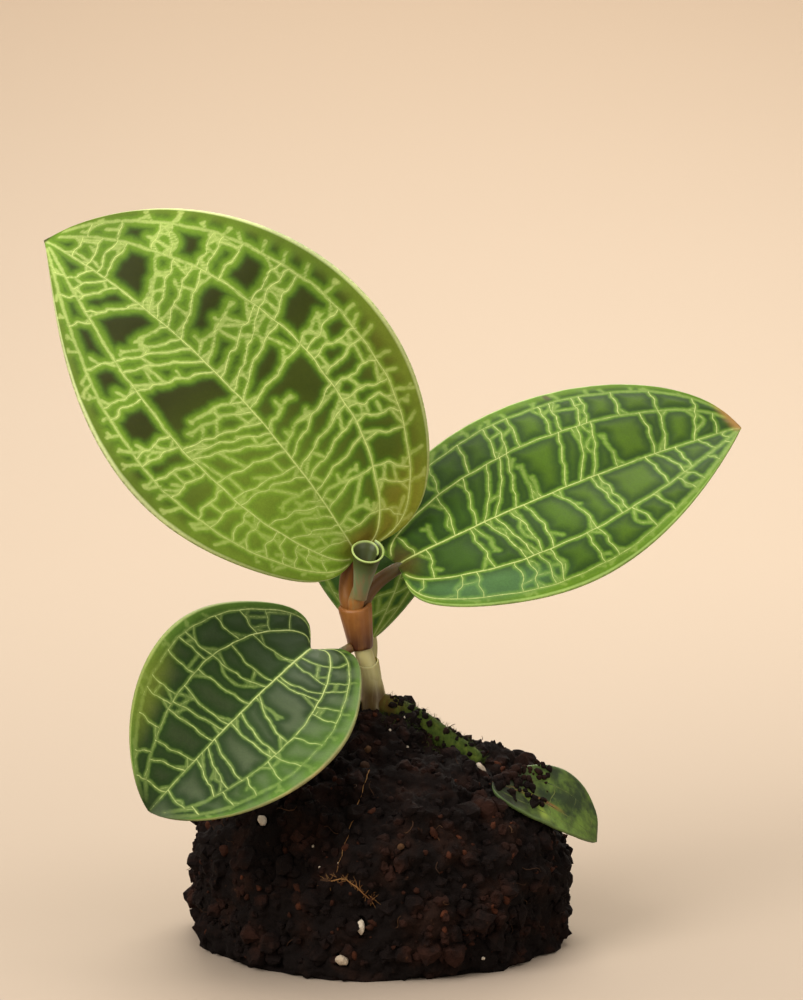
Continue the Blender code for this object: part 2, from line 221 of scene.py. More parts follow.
def cordFaces(rows, sides, start=0):
    # a tube that is closed at both ends
    index = np.arange(rows * sides).reshape(rows, sides) + start
    return [*ringQuads(index), index[0, ::-1].tolist(), index[-1].tolist()]


def asColour(text):
    # a colour in hexadecimal digits, as the linear colour that shaders take
    values = (int(text[place : place + 2], 16) / 255.0 for place in (0, 2, 4))
    return (*(v / 12.92 if v <= 0.04045 else ((v + 0.055) / 1.055) ** 2.4 for v in values), 1.0)


def addNode(tree, kind, settings=None, **values):
    # values go to inputs by name, or by number after the letter i
    node = tree.nodes.new(kind)
    for key, value in (settings or {}).items():
        setattr(node, key, value)
    for key, value in values.items():
        socket = node.inputs[int(key[1:]) if key[1:].isdigit() else key]
        if isinstance(value, bpy.types.NodeSocket):
            tree.links.new(value, socket)
        else:
            socket.default_value = asColour(value) if isinstance(value, str) else value
    return node


def newGroup(name, kind, inputs, output, outputType):
    # inputs are given as a socket type and the names that have it
    tree = bpy.data.node_groups.new(name, kind)
    for label, socketType in inputs.items():
        tree.interface.new_socket(label, in_out="INPUT", socket_type="NodeSocket" + socketType)
    tree.interface.new_socket(output, in_out="OUTPUT", socket_type="NodeSocket" + outputType)
    return tree, tree.nodes.new("NodeGroupInput").outputs, tree.nodes.new("NodeGroupOutput").inputs[0]


def addMath(tree, operation, first, second=0.0):
    return addNode(tree, "ShaderNodeMath", {"operation": operation}, i0=first, i1=second).outputs[0]


def times(tree, first, second):
    return addMath(tree, "MULTIPLY", first, second)


def mixColours(tree, factor, first, second, blend="MIX"):
    settings = {"data_type": "RGBA", "blend_type": blend}
    return addNode(tree, "ShaderNodeMix", settings, i0=factor, i6=first, i7=second).outputs[2]


def mapRange(tree, value, low, high, start=0.0, end=1.0, kind="LINEAR"):
    settings = {"interpolation_type": kind}
    inputs = {"i0": value, "i1": low, "i2": high, "i3": start, "i4": end}
    return addNode(tree, "ShaderNodeMapRange", settings, **inputs).outputs[0]


def smoothStep(tree, value, low, high):
    return mapRange(tree, value, low, high, kind="SMOOTHSTEP")


def objectPlace(tree):
    return tree.nodes.new("ShaderNodeTexCoord").outputs["Object"]


def objectNoise(tree, scale, detail=3.0, roughness=0.55):
    inputs = {"Vector": objectPlace(tree), "Scale": scale, "Detail": detail, "Roughness": roughness}
    return addNode(tree, "ShaderNodeTexNoise", **inputs).outputs[0]


def streakNoise(tree, rise, detail):
    # fine streaks that run upwards
    stretched = addNode(tree, "ShaderNodeMapping", Vector=objectPlace(tree), Scale=(1500.0, 1500.0, rise))
    texture = {"Vector": stretched.outputs[0], "Scale": 1.0, "Detail": detail}
    return addNode(tree, "ShaderNodeTexNoise", **texture).outputs[0]


def newMaterial(name, roughness=0.5, specular=0.5):
    material = bpy.data.materials.new(name)
    material.use_nodes = True
    shader = material.node_tree.nodes["Principled BSDF"]
    shader.inputs["Roughness"].default_value = roughness
    shader.inputs["Specular IOR Level"].default_value = specular
    return material, material.node_tree, shader


def dress(tree, shader, colour, height=None, strength=0.0, distance=0.0):
    # a surface's colour and its fine relief
    tree.links.new(colour, shader.inputs["Base Color"])
    if height:
        bump = addNode(tree, "ShaderNodeBump", Height=height, Strength=strength, Distance=distance)
        tree.links.new(bump.outputs[0], shader.inputs["Normal"])


# Studio pieces


def buildStudio():
    radius = studio["sweepRadius"]
    wall = studio["wallDistance"]
    profile = [(-studio["frontReach"], 0.0), (wall - radius, 0.0)]
    for step in range(1, studio["sweepSteps"] + 1):
        turn = math.radians(90.0 * step / studio["sweepSteps"])
        profile.append((wall - radius + radius * math.sin(turn), radius - radius * math.cos(turn)))
    profile.append((wall, studio["wallTop"]))
    vertices = [(side * studio["halfWidth"], y, z) for side in (-1, 1) for y, z in profile]
    count = len(profile)
    faces = [(i, count + i, count + i + 1, i + 1) for i in range(count - 1)]
    material, tree, shader = newMaterial("paleSweep", 0.9, 0.1)
    height = addNode(tree, "ShaderNodeSeparateXYZ", i0=objectPlace(tree)).outputs[2]
    shade = smoothStep(tree, height, 0.0, studio["blendHeight"])
    colour = mixColours(tree, shade, (*studio["floorColour"], 1.0), (*studio["wallColour"], 1.0))
    dress(tree, shader, colour)
    addMesh("paleSweep", vertices, faces, material)


# Leaves: each blade's shape, its net of veins and its colours

leafBuild = {
    "thickness": 0.42 * mm,
    "foldRadius": 1.5 * mm,  # how softly the halves meet at the midrib
    "lobePlace": 0.06,
    "edgeRound": 0.035,  # share of the half width over which the margin thins
    "pillow": 0.13 * mm,  # how much the fields between the veins bulge
    "pillowReach": 1.2 * mm,
    "pathStep": 0.06 * mm,
    "rowPower": 1.3,
    "veinStep": 0.26 * mm,
    "veinSink": 0.025 * mm,
    "veinletWidth": 0.074,  # half widths of the strands in millimetres
    "twigWidth": 0.056,
    "nerveWidths": (0.135, 0.108, 0.088),  # midrib, inner nerves, outer nerves
    "linkGap": 2.4,  # veinlets this many millimetres apart are linked
}

# Places and lengths are in millimetres and angles in degrees. left and right give each half's greatest
# width, how slowly it widens from the base and narrows to the tip, and its lift. nerves are places
# across the blade from -1 to 1, and grid is its rows and columns.
upperLeft = {
    "base": (-3.22, 1.0, 43.4), "yaw": 203.7, "pitch": 59.4, "roll": -69.3, "length": 51.9, "curl": 51.5,
    "bend": 0.005, "lobe": 0.041, "cup": -0.03,
    "left": (18.3, 0.80, 1.10, -5.7), "right": (18.5, 0.516, 0.741, 28.6),
    "nerves": (-0.82, -0.51, 0.0, 0.54, 0.83), "grid": (218, 124), "seed": 11,
    "twigGap": 0.034, "twinChance": 0.3, "stubChance": 0.45, "deltaChance": 0.55, "linkChance": 0.75,
    "wiggle": 0.3,
    # between two nerves: each veinlet's place along the inner and the outer nerve in hundredths of the
    # blade, and for one that ends on its way the hundredths of the way it goes
    "bands": {
        (0.0, 0.54): (
            "86/89 82/86 79/83 73/80 65/69/50 61/69/80 58/67 54/64 51/59 42/48/65 39/46/75 36/43 30/40 "
            "28/33 33/42 24/28 21/26 18/21/60 15/19/60 13/19 10/17/85 8/14 6/11/80 4/8"
        ),
        (0.0, -0.51): (
            "92/93 88/89 85/86 83/84 72/76/60 70/78/90 68/74 65/70 61/68 56/59/45 53/60/80 49/55 45/54 "
            "42/49 40/43 34/39/45 28/35/50 26/33 23/28 20/25 17/21 15/17/70 12/15 8/10/70 6/7"
        ),
        (-0.51, -0.82): (
            "92/93 86/88 79/81 75/79 69/71 67/69 64/65 56/57 54/55 50/53 43/46/60 41/43 39/38 35/36 32/31 "
            "29/27 27/24 24/21 20/18 15/12 12/10 7/5"
        ),
        (0.54, 0.83): (
            "90/92 84/87 77/80 67/70 59/61 57/58 47/48 44/46 39/42 36/37 31/30 27/27 24/22 21/19 17/15 "
            "15/12 12/10 10/7 7/5"
        ),
    },
}

rightLeaf = {
    "base": (1.34, 1.0, 42.33), "yaw": 18.5, "pitch": 26.0, "roll": 36.6, "length": 46.9, "curl": 23.3,
    "bend": -0.052, "lobe": 0.058, "cup": 0.216,
    "left": (15.7, 0.571, 0.564, 9.9), "right": (15.2, 0.564, 1.039, 17.1),
    "nerves": (-0.905, -0.57, 0.0, 0.51, 0.85), "grid": (196, 112), "seed": 23,
    "twigGap": 0.05, "twinChance": 0.25, "stubChance": 0.12, "deltaChance": 0.3, "linkChance": 0.25,
    "wiggle": 0.2,
    "bands": {
        (0.0, 0.51): (
            "5/6 11/13/50 16/19 22/27 24/34 27/38 33/40 38/42/60 40/43/35 47/55 51/60 55/64 62/65/60 "
            "73/77 76/82 85/91 92/95"
        ),
        (0.51, 0.85): "12/14 20/23 29/32 37/40 40/43 44/47 53/56 56/59 61/65 63/67 72/75 82/84 91/93",
        (0.0, -0.57): (
            "8/7 20/19 21/22/60 24/26 27/28 31/30 35/33 43/45 54/53 56/55 70/69 73/75 79/78 86/88 93/94"
        ),
        (-0.57, -0.905): (
            "5/4 12/10 15/14 23/21 26/24 29/28 32/30 42/41 45/45 56/58 63/65 72/74 75/78 84/86 92/93"
        ),
    },
}

lowerLeft = {
    "base": (-8.22, -4.0, 33.7), "yaw": 245.5, "pitch": -7.0, "roll": -33.0, "length": 30.95, "curl": 51.6,
    "bend": 0.051, "lobe": 0.168, "cup": -0.096,
    "left": (12.1, 0.727, 0.687, 13.0), "right": (11.9, 0.748, 0.767, 19.5),
    "nerves": (-0.885, -0.57, 0.0, 0.56, 0.83), "grid": (168, 102), "seed": 37,
    "twigGap": 0.085, "twinChance": 0.3, "stubChance": 0.12, "deltaChance": 0.3, "linkChance": 0.3,
    "wiggle": 0.16,
    "bands": {
        (0.0, -0.57): "14/24 30/34 34/43 45/51 57/59 60/66 66/69 76/80 81/86 91/92",
        (-0.57, -0.885): "10/9 17/16 22/24 30/33 43/46 46/49 53/55 63/65 67/69 76/77 84/87 92/93",
        (0.0, 0.56): "10/12 15/21 26/25 28/29 39/52 41/46/50 50/58 56/60 65/73 69/78 75/83 90/92",
        (0.56, 0.83): "12/10 20/18 24/21 32/30 36/36 49/47 59/58 62/66 71/75 80/82 90/91",
    },
}

backLeaf = {
    "base": (-1.7, 2.9, 33.4), "yaw": 88.0, "pitch": 58.0, "roll": 0.0, "length": 34.0, "curl": 40.0,
    "bend": 0.0, "lobe": 0.0, "cup": 0.1,
    "left": (9.0, 0.9, 0.9, 12.0), "right": (9.0, 0.9, 0.9, 12.0),
    "nerves": (-0.82, -0.5, 0.0, 0.5, 0.82), "grid": (112, 64), "seed": 41,
    "twigGap": 0.07, "twinChance": 0.3, "stubChance": 0.12, "deltaChance": 0.3, "linkChance": 0.4,
    "wiggle": 0.2, "evenGap": 0.085,
    "bands": {},
}

oldLeaf = {
    "base": (11.9, -9.4, 19.7), "yaw": 12.0, "pitch": -22.0, "roll": 43.0, "length": 15.3, "curl": 27.5,
    "bend": 0.061, "lobe": 0.0, "cup": 0.1,
    "left": (6.3, 0.93, 0.50, 5.4), "right": (3.1, 0.40, 0.80, 11.8),
    "nerves": (-0.5, 0.0, 0.5), "grid": (96, 56), "seed": 53,
    "twigGap": 0.2, "twinChance": 0.1, "stubChance": 0.12, "deltaChance": 0.2, "linkChance": 0.1,
    "wiggle": 0.15, "evenGap": 0.2,
    "bands": {},
}


def leafAxes(leaf):
    yaw, pitch, roll = (math.radians(leaf[key]) for key in ("yaw", "pitch", "roll"))
    along = np.array((math.cos(yaw) * math.cos(pitch), math.sin(yaw) * math.cos(pitch), math.sin(pitch)))
    level = np.array((-math.sin(yaw), math.cos(yaw), 0.0))
    across = level * math.cos(roll) + np.cross(along, level) * math.sin(roll)
    return along, across, np.cross(along, across)


def halfWidth(t, side):
    width, basePower, tipPower, _ = side
    widest = basePower / (basePower + tipPower)
    share = t**basePower * (1.0 - t) ** tipPower
    return width * mm * share / (widest**basePower * (1.0 - widest) ** tipPower)


def leafPoints(leaf, t, s):
    # t runs from base to tip, s from the right margin (-1) over the midrib to the left margin (1)
    t, s = np.broadcast_arrays(np.clip(np.asarray(t, float), 0.0, 1.0), np.asarray(s, float))
    along, across, up = leafAxes(leaf)
    length = leaf["length"] * mm
    isLeft = s > 0
    place = leafBuild["lobePlace"]
    lobe = leaf["lobe"] * (t / place) * np.exp(1.0 - t / place)
    reach = length * (t - lobe * np.abs(s) ** 1.5)
    offset = s * np.where(isLeft, halfWidth(t, leaf["left"]), halfWidth(t, leaf["right"]))
    turn = math.radians(leaf["curl"]) / length
    forward = np.sin(turn * reach) / turn
    drop = (1.0 - np.cos(turn * reach)) / turn
    lift = np.radians(np.where(isLeft, leaf["left"][3], leaf["right"][3]))
    share = reach / length
    sideways = offset * np.cos(lift) + leaf["bend"] * length * share * (1.0 - share)
    fold = leafBuild["foldRadius"]
    spread = np.hypot(offset, fold) - fold
    rise = spread * np.sin(lift) - leaf["cup"] * offset**2 / (leaf["left"][0] * mm)
    onAxis = forward + rise * np.sin(turn * reach)
    onNormal = rise * np.cos(turn * reach) - drop
    base = np.array(leaf["base"]) * mm
    return base + onAxis[..., None] * along + sideways[..., None] * across + onNormal[..., None] * up


def wigglyPath(leaf, rng, start, end, size, bow=0.0):
    # a wandering line between two places on the blade, as (t, s) rows
    count = 24
    f = np.linspace(0.0, 1.0, count)
    t = start[0] + (end[0] - start[0]) * f
    s = start[1] + (end[1] - start[1]) * f
    middle = (start[0] + end[0]) / 2.0
    width = float(halfWidth(np.array(min(max(middle, 0.03), 0.97)), leaf["left"])) / mm
    fade = np.sin(np.pi * f) ** 0.5
    span = math.hypot((end[0] - start[0]) * leaf["length"], (end[1] - start[1]) * width)
    shift = np.zeros(count)
    for wave, share in ((3.3, 1.0), (1.5, 0.33), (0.7, 0.07)):
        shift += share * np.sin(2.0 * np.pi * (f * span / (wave * rng.uniform(0.8, 1.2)) + rng.random()))
    shift *= size * fade
    t = t + (shift + bow * np.sin(np.pi * f) * span) / leaf["length"]
    s = s + 0.4 * shift * math.copysign(1.0, end[1] - start[1] + 1e-9) / max(width, 1.0)
    return np.stack([np.clip(t, 0.004, 0.996), np.clip(s, -0.975, 0.975)], axis=-1)


def forkedEnd(leaf, rng, path, prongs, length):
    # short prongs that open from a path's last point
    paths = []
    end = path[-1]
    course = path[-1] - path[-4]
    scale = np.array([leaf["length"], max(2.0, leaf["left"][0] * 0.8)])
    heading = math.atan2(course[1] * scale[1], course[0] * scale[0])
    for index in range(prongs):
        angle = heading + (index - (prongs - 1) / 2.0) * 1.0 + rng.normal(0.0, 0.15)
        size = length * (0.5 + 0.7 * rng.random())
        tip = end + size * np.array([math.cos(angle), math.sin(angle)]) / scale
        paths.append(wigglyPath(leaf, rng, end, tip, 0.05))
    return paths


def mainNerves(leaf):
    nerves = []
    for s in leaf["nerves"]:
        isMidrib = s == 0.0
        t = np.linspace(0.004 if isMidrib else 0.012, 0.992 if isMidrib else 0.975, 300)
        wander = 0.005 * np.sin(9.0 * np.pi * t + 3.0 * s) + 0.003 * np.sin(27.0 * np.pi * t + 7.0 * s)
        rank = 0 if isMidrib else (1 if abs(s) < 0.7 else 2)
        width = leafBuild["nerveWidths"][rank]
        nerves.append((np.stack([t, s + wander * (0.4 if isMidrib else 1.0)], axis=-1), width, 0.4 * width))
    return nerves


def evenBands(leaf, rng):
    # bands for a blade whose veinlets weren't read off one by one
    bands = {}
    for low, high in zip(leaf["nerves"], leaf["nerves"][1:]):
        inner, outer = sorted((low, high), key=abs)
        places = np.arange(0.07, 0.93, leaf["evenGap"])
        places = places + rng.uniform(-0.02, 0.02, len(places))
        bands[(inner, outer)] = [(t, t + 0.03) for t in places]
    return bands


def readBand(text):
    return [[int(value) / 100 for value in veinlet.split("/")] for veinlet in text.split()]


def bandStrands(leaf, rng, inner, outer, lines):
    # the veinlets of one band, with their twins, deltas, forks, twigs and links
    full, thin = leafBuild["veinletWidth"], leafBuild["twigWidth"]
    strands = []
    made = []

    def sideStep():
        return rng.choice((-1.0, 1.0)) * rng.uniform(0.5, 1.3) / leaf["length"]

    for tIn, tOut, *rest in lines:
        reach = rest[0] if rest else 1.0
        end = (tIn + (tOut - tIn) * reach, inner + (outer - inner) * reach)
        bow = rng.uniform(-0.02, 0.08)
        path = wigglyPath(leaf, rng, (tIn, inner), end, leaf["wiggle"] * (0.5 + 0.4 * rng.random()), bow)
        strands.append((path, full, full if reach == 1.0 else 0.6 * thin))
        made.append((tIn, path))
        if reach < 1.0:
            strands.extend((fork, thin, 0.3 * thin) for fork in forkedEnd(leaf, rng, path, 2, 0.6))
        else:
            if rng.random() < leaf["twinChance"]:
                # a second strand that leaves the first and comes back
                first, last = sorted(rng.choice(np.arange(2, 22), 2, replace=False))
                if last - first > 5:
                    bow = rng.choice((-1.0, 1.0)) * rng.uniform(0.2, 0.34)
                    strands.append((wigglyPath(leaf, rng, path[first], path[last], 0.06, bow), thin, thin))
            if rng.random() < leaf["deltaChance"]:
                meet = path[int(rng.integers(15, 20))]
                strands.append((wigglyPath(leaf, rng, meet, (tOut + sideStep(), outer), 0.04), thin, thin))
        if rng.random() < leaf["deltaChance"]:
            meet = path[int(rng.integers(4, 9))]
            strands.append((wigglyPath(leaf, rng, (tIn + sideStep(), inner), meet, 0.04), thin, thin))
        if rng.random() < leaf["stubChance"]:
            start = path[int(rng.integers(6, 20))]
            along = rng.uniform(0.6, 1.4) / leaf["length"]
            tip = start + np.array([along, (outer - inner) * rng.uniform(-0.05, 0.2)])
            strands.append((wigglyPath(leaf, rng, start, tip, 0.06), thin, 0.3 * thin))
    made.sort(key=lambda entry: entry[0])
    for (lowT, low), (highT, high) in zip(made, made[1:]):
        if (highT - lowT) * leaf["length"] > leafBuild["linkGap"]:
            continue
        for _ in range(int(rng.integers(1, 4))):
            if rng.random() > leaf["linkChance"]:
                continue
            place = int(rng.integers(3, 22))
            other = min(23, max(0, place + int(rng.integers(-3, 4))))
            strands.append((wigglyPath(leaf, rng, low[place], high[other], 0.05), thin, thin))
    return strands


def marginTwigs(leaf, rng):
    # short forked twigs from the outer nerves towards the margin
    thin = leafBuild["twigWidth"]
    strands = []
    for side in (-1.0, 1.0):
        outer = max((abs(s) for s in leaf["nerves"] if s * side > 0), default=0.5) * side
        room = side * 0.95 - outer
        t = 0.04
        while t < 0.95:
            reach = rng.uniform(0.3, 0.95)
            end = (t + rng.uniform(-0.012, 0.02), outer + room * reach)
            path = wigglyPath(leaf, rng, (t, outer), end, 0.08)
            strands.append((path, thin, 0.5 * thin))
            if rng.random() < 0.55:
                strands.extend((fork, 0.7 * thin, 0.3 * thin) for fork in forkedEnd(leaf, rng, path, 2, 0.5))
            t += leaf["twigGap"] * rng.uniform(0.45, 1.7)
    return strands


def veinNet(leaf):
    # every strand as its path and its half width at both ends
    rng = np.random.default_rng(leaf["seed"])
    bands = {pair: readBand(text) for pair, text in leaf["bands"].items()} or evenBands(leaf, rng)
    strands = []
    for (inner, outer), lines in bands.items():
        strands.extend(bandStrands(leaf, rng, inner, outer, lines))
    return mainNerves(leaf), strands + marginTwigs(leaf, rng)


def treeOfPaths(leaf, strands):
    points = []
    for strand in strands:
        path = strand[0]
        place = leafPoints(leaf, path[:, 0], path[:, 1])
        travelled = stepsAlong(place)
        wanted = np.arange(0.0, travelled[-1], leafBuild["pathStep"])
        points.append(np.stack([np.interp(wanted, travelled, place[:, axis]) for axis in range(3)], axis=-1))
    points = np.concatenate(points)
    tree = kdtree.KDTree(len(points))
    for index, point in enumerate(points):
        tree.insert(point, index)
    tree.balance()
    return tree


def stepsAlong(places):
    return np.concatenate([[0.0], np.cumsum(np.linalg.norm(np.diff(places, axis=0), axis=1))])


def bladeRounding(t, s):
    # how thick the blade is here, from 0 at the margin to 1, with the nearness to margin and ends
    ends = np.clip(np.minimum(t / 0.03, (1.0 - t) / 0.03), 0.0, 1.0)
    inward = np.clip((1.0 - np.abs(s)) / leafBuild["edgeRound"], 0.0, 1.0)
    return np.sqrt(np.clip(1.0 - (1.0 - inward) ** 2, 0.0, 1.0)) * (0.15 + 0.85 * ends), inward, ends


def upperSkin(leaf, t, s):
    # points on the blade's upper side, with their normals
    step = 0.002
    ahead, behind = np.minimum(t + step, 0.999), np.maximum(t - step, 0.001)
    alongStep = leafPoints(leaf, ahead, s) - leafPoints(leaf, behind, s)
    acrossStep = leafPoints(leaf, t, s + step) - leafPoints(leaf, t, s - step)
    normals = unit(np.cross(alongStep, acrossStep))
    half = leafBuild["thickness"] / 2.0 * bladeRounding(t, s)[0]
    return leafPoints(leaf, t, s) + normals * half[..., None], normals


def addLayer(mesh, name, values):
    attribute = mesh.attributes.new(name, "FLOAT", "POINT")
    attribute.data.foreach_set("value", np.asarray(values, np.float32))


def buildVeins(name, leaf, strands, material):
    # each strand is a low flattened cord that lies on the blade's upper side
    ring = ((-1.0, -0.25), (-0.72, 0.28), (0.0, 0.5), (0.72, 0.28), (1.0, -0.25))
    rng = np.random.default_rng(leaf["seed"] + 100)
    vertices, faces, alongs, acrosses = [], [], [], []
    total = 0
    for path, startWidth, endWidth in strands:
        travelled = stepsAlong(leafPoints(leaf, path[:, 0], path[:, 1]))
        if travelled[-1] < 0.2 * mm:
            continue
        count = max(4, int(travelled[-1] / leafBuild["veinStep"]) + 1)
        wanted = np.linspace(0.0, travelled[-1], count)
        t, s = (np.interp(wanted, travelled, path[:, axis]) for axis in (0, 1))
        skin, normals = upperSkin(leaf, t, s)
        side = np.cross(normals, unit(np.gradient(skin, axis=0)))
        width = startWidth + (endWidth - startWidth) * wanted / travelled[-1]
        width = width * (1.0 + 0.09 * rng.standard_normal(count)) * mm
        for across, up in ring:
            rise = (up * width - leafBuild["veinSink"])[:, None]
            vertices.append(skin + side * (across * width)[:, None] + normals * rise)
        block = np.stack(vertices[-len(ring) :], axis=1).reshape(-1, 3)
        vertices[-len(ring) :] = [block]
        faces.extend(cordFaces(count, len(ring), total))
        alongs.append(np.repeat(t, len(ring)))
        acrosses.append(np.repeat(s, len(ring)))
        total += len(block)
    thing = addMesh(name, np.concatenate(vertices).tolist(), faces, material)
    addLayer(thing.data, "along", np.concatenate(alongs))
    addLayer(thing.data, "across", np.concatenate(acrosses))
    editMesh(thing.data)
    return thing


def gapsTo(tree, places):
    return np.array([tree.find(place)[2] for place in places.reshape(-1, 3)]).reshape(places.shape[:-1])


def surfaceNormals(places):
    return unit(np.cross(np.gradient(places, axis=0), np.gradient(places, axis=1)))


def buildBlade(name, leaf, material, strandMaterial, node):
    rows, columns = leaf["grid"]
    t = np.linspace(0.0005, 0.9995, rows) ** leafBuild["rowPower"]
    edge = np.linspace(-1.0, 1.0, columns)
    s = np.sin(edge * np.pi / 2.0) * 0.35 + edge * 0.65
    tGrid, sGrid = np.meshgrid(t, s, indexing="ij")
    places = leafPoints(leaf, tGrid, sGrid)
    normals = surfaceNormals(places)
    nerves, veinlets = veinNet(leaf)
    nerveGap = gapsTo(treeOfPaths(leaf, nerves), places)
    veinGap = gapsTo(treeOfPaths(leaf, veinlets), places)
    rounding, inward, ends = bladeRounding(tGrid, sGrid)
    nearest = np.minimum(nerveGap, veinGap)
    relief = leafBuild["pillow"] * (1.0 - np.exp(-((nearest / leafBuild["pillowReach"]) ** 2)))
    half = leafBuild["thickness"] / 2.0 * rounding
    middle = places + normals * (relief * inward * ends)[..., None]
    skins = [(middle + side * normals * half[..., None]).reshape(-1, 3) for side in (1.0, -1.0)]
    count = rows * columns
    index = np.arange(count).reshape(rows, columns)
    quads = sheetQuads(index)
    rimLoop = np.concatenate([index[0, :-1], index[:-1, -1], index[-1, :0:-1], index[:0:-1, 0]])
    nextLoop = np.roll(rimLoop, -1)
    rim = np.stack([nextLoop, rimLoop, rimLoop + count, nextLoop + count], axis=-1)
    faces = np.concatenate([quads, quads[:, ::-1] + count, rim])
    thing = addMesh(name, np.concatenate(skins).tolist(), faces.tolist(), material)
    layers = {"nerveGap": nerveGap / mm, "veinGap": veinGap / mm, "along": tGrid, "across": sGrid}
    for layer, values in layers.items():
        addLayer(thing.data, layer, np.tile(values.reshape(-1), 2))
    addLayer(thing.data, "underside", np.repeat((0.0, 1.0), count))
    editMesh(thing.data, 0.002 * mm)
    settle(thing, node)
    settle(buildVeins(name + "Veins", leaf, nerves + veinlets, strandMaterial), node)


def netGroup():
    # colours a blade by its distances to the nerves and the veinlets, in millimetres
    sockets = {
        "Nerve Gap": "Float", "Veinlet Gap": "Float", "Across": "Float", "Wander": "Float", "Vein": "Color",
        "Bright Tissue": "Color", "Field Edge": "Color", "Field Middle": "Color", "Margin": "Color",
        "Rim Highlight": "Color", "Tissue Reach": "Float", "Field Reach": "Float", "Glow": "Float",
    }
    tree, source, result = newGroup("veinNetColour", "ShaderNodeTree", sockets, "Colour", "Color")
    reach = source["Tissue Reach"]
    wander = times(tree, addMath(tree, "SUBTRACT", source["Wander"], 0.5), 0.34)
    nearest = addMath(tree, "MINIMUM", source["Nerve Gap"], source["Veinlet Gap"])
    nearest = addMath(tree, "ADD", nearest, wander)
    tissue = smoothStep(tree, nearest, reach, times(tree, reach, 0.28))
    field = smoothStep(tree, nearest, times(tree, reach, 0.7), source["Field Reach"])
    colour = mixColours(tree, field, source["Field Edge"], source["Field Middle"])
    colour = mixColours(tree, tissue, colour, source["Bright Tissue"])
    side = addMath(tree, "ABSOLUTE", source["Across"])
    edge = times(tree, smoothStep(tree, side, 0.86, 0.955), 0.85)
    colour = mixColours(tree, edge, colour, source["Margin"])
    halo = times(tree, smoothStep(tree, nearest, 0.32, 0.05), source["Glow"])
    colour = mixColours(tree, halo, colour, source["Vein"])
    # a painted highlight along the very margin, where light shines through the edge
    colour = mixColours(tree, smoothStep(tree, side, 0.966, 0.985), colour, source["Rim Highlight"])
    tree.links.new(colour, result)
    return tree


def patchGroup():
    # a soft oval mask on the blade
    names = ("Along", "Across", "Middle Along", "Middle Across", "Reach Along", "Reach Across")
    sockets = dict.fromkeys(names, "Float")
    tree, source, result = newGroup("softPatch", "ShaderNodeTree", sockets, "Mask", "Float")
    squares = []
    for axis in ("Along", "Across"):
        gap = addMath(tree, "SUBTRACT", source[axis], source["Middle " + axis])
        gap = addMath(tree, "DIVIDE", gap, source["Reach " + axis])
        squares.append(times(tree, gap, gap))
    gap = addMath(tree, "SQRT", addMath(tree, "ADD", *squares))
    tree.links.new(smoothStep(tree, gap, 1.0, 0.25), result)
    return tree


leafColours = {
    # rim is the colour of a painted highlight along each margin, where light shines through the edge
    "upperLeft": {
        "vein": "e8f496", "tissue": "789c2e", "edge": "4a6a1e",
        "middle": "363814", "middleLow": "54621e", "margin": "748c2e",
        "rim": "e0e8a4", "reach": 1.08, "field": 1.5, "glow": 0.42, "paintedSheen": 0.0, "halo": 0.5,
        "nearBase": 0.6, "sheen": 0.16,
        # soft patches as middle (t, s), reach (t, s), colour and amount
        "patches": (
            ((0.26, -0.92), (0.24, 0.26), "8c862c", 0.3),
            ((0.05, -0.78), (0.12, 0.50), "b09c34", 0.45),
            ((0.0, -0.05), (0.075, 0.80), "804218", 0.85),
            # painted glow: the blade's lower part, mostly on its left half, brighter yellow-green where light
            # shines through it
            ((0.12, 0.40), (0.42, 0.95), "9ebe3e", 0.5),
            ((1.0, 0.0), (0.012, 4.0), "3c301c", 0.85),
        ),
    },
    "right": {
        "vein": "beca74", "tissue": "567a1c", "edge": "2a4412",
        "middle": "4a6612", "middleLow": "365412", "margin": "62841e",
        "rim": "a6c468", "reach": 0.6, "field": 1.9, "glow": 0.24, "paintedSheen": 0.0, "halo": 0.2,
        "nearBase": 1.0, "sheen": 0.07,
        "patches": (
            ((1.0, 0.6), (0.045, 2.2), "a4783e", 0.85),
            ((0.0, 0.0), (0.08, 0.9), "54421a", 0.7),
            ((0.6, 0.93), (0.012, 0.06), "483c22", 0.8),
            # painted highlight: a bluish sheen on the right half's lobe near the base
            ((0.16, -0.78), (0.2, 0.25), "608856", 0.5),
        ),
    },
    "lowerLeft": {
        "vein": "b8c676", "tissue": "42601e", "edge": "243a14",
        "middle": "324022", "middleLow": "36462c", "margin": "587a2a",
        # a painted cool sheen lies over this blade's fields, away from the veins
        "rim": "92a05c", "reach": 0.42, "field": 1.5, "glow": 0.18, "paintedSheen": 0.3, "halo": 0.2,
        "nearBase": 1.0, "sheen": 0.12,
        "patches": (
            ((0.70, -0.92), (0.22, 0.32), "8a9834", 0.42),
            ((0.12, -0.6), (0.45, 0.6), "1a2a10", 0.5),
            ((0.55, 0.80), (0.4, 0.35), "608632", 0.4),
            ((0.55, 1.02), (0.5, 0.06), "b09264", 0.8),
            ((1.0, 0.0), (0.09, 4.0), "263418", 0.7),
        ),
    },
    "back": {
        "vein": "bed076", "tissue": "769634", "edge": "3c6026",
        "middle": "426224", "middleLow": "426224", "margin": "60883e",
        "rim": "8ca85c", "reach": 0.6, "field": 1.5, "glow": 0.3, "paintedSheen": 0.0, "halo": 0.3,
        "nearBase": 1.0, "sheen": 0.12, "patches": (),
    },
}


def readLayer(tree, name):
    return addNode(tree, "ShaderNodeAttribute", {"attribute_name": name}).outputs["Fac"]


def tintPatches(tree, colour, patches, patch, share=1.0):
    place = {"i0": readLayer(tree, "along"), "i1": readLayer(tree, "across")}
    for (middleT, middleS), (reachT, reachS), tint, amount in patches:
        oval = {"i2": middleT, "i3": middleS, "i4": reachT, "i5": reachS}
        mask = addNode(tree, "ShaderNodeGroup", {"node_tree": patch}, **place, **oval).outputs[0]
        colour = mixColours(tree, times(tree, mask, amount * share), colour, tint)
    return colour


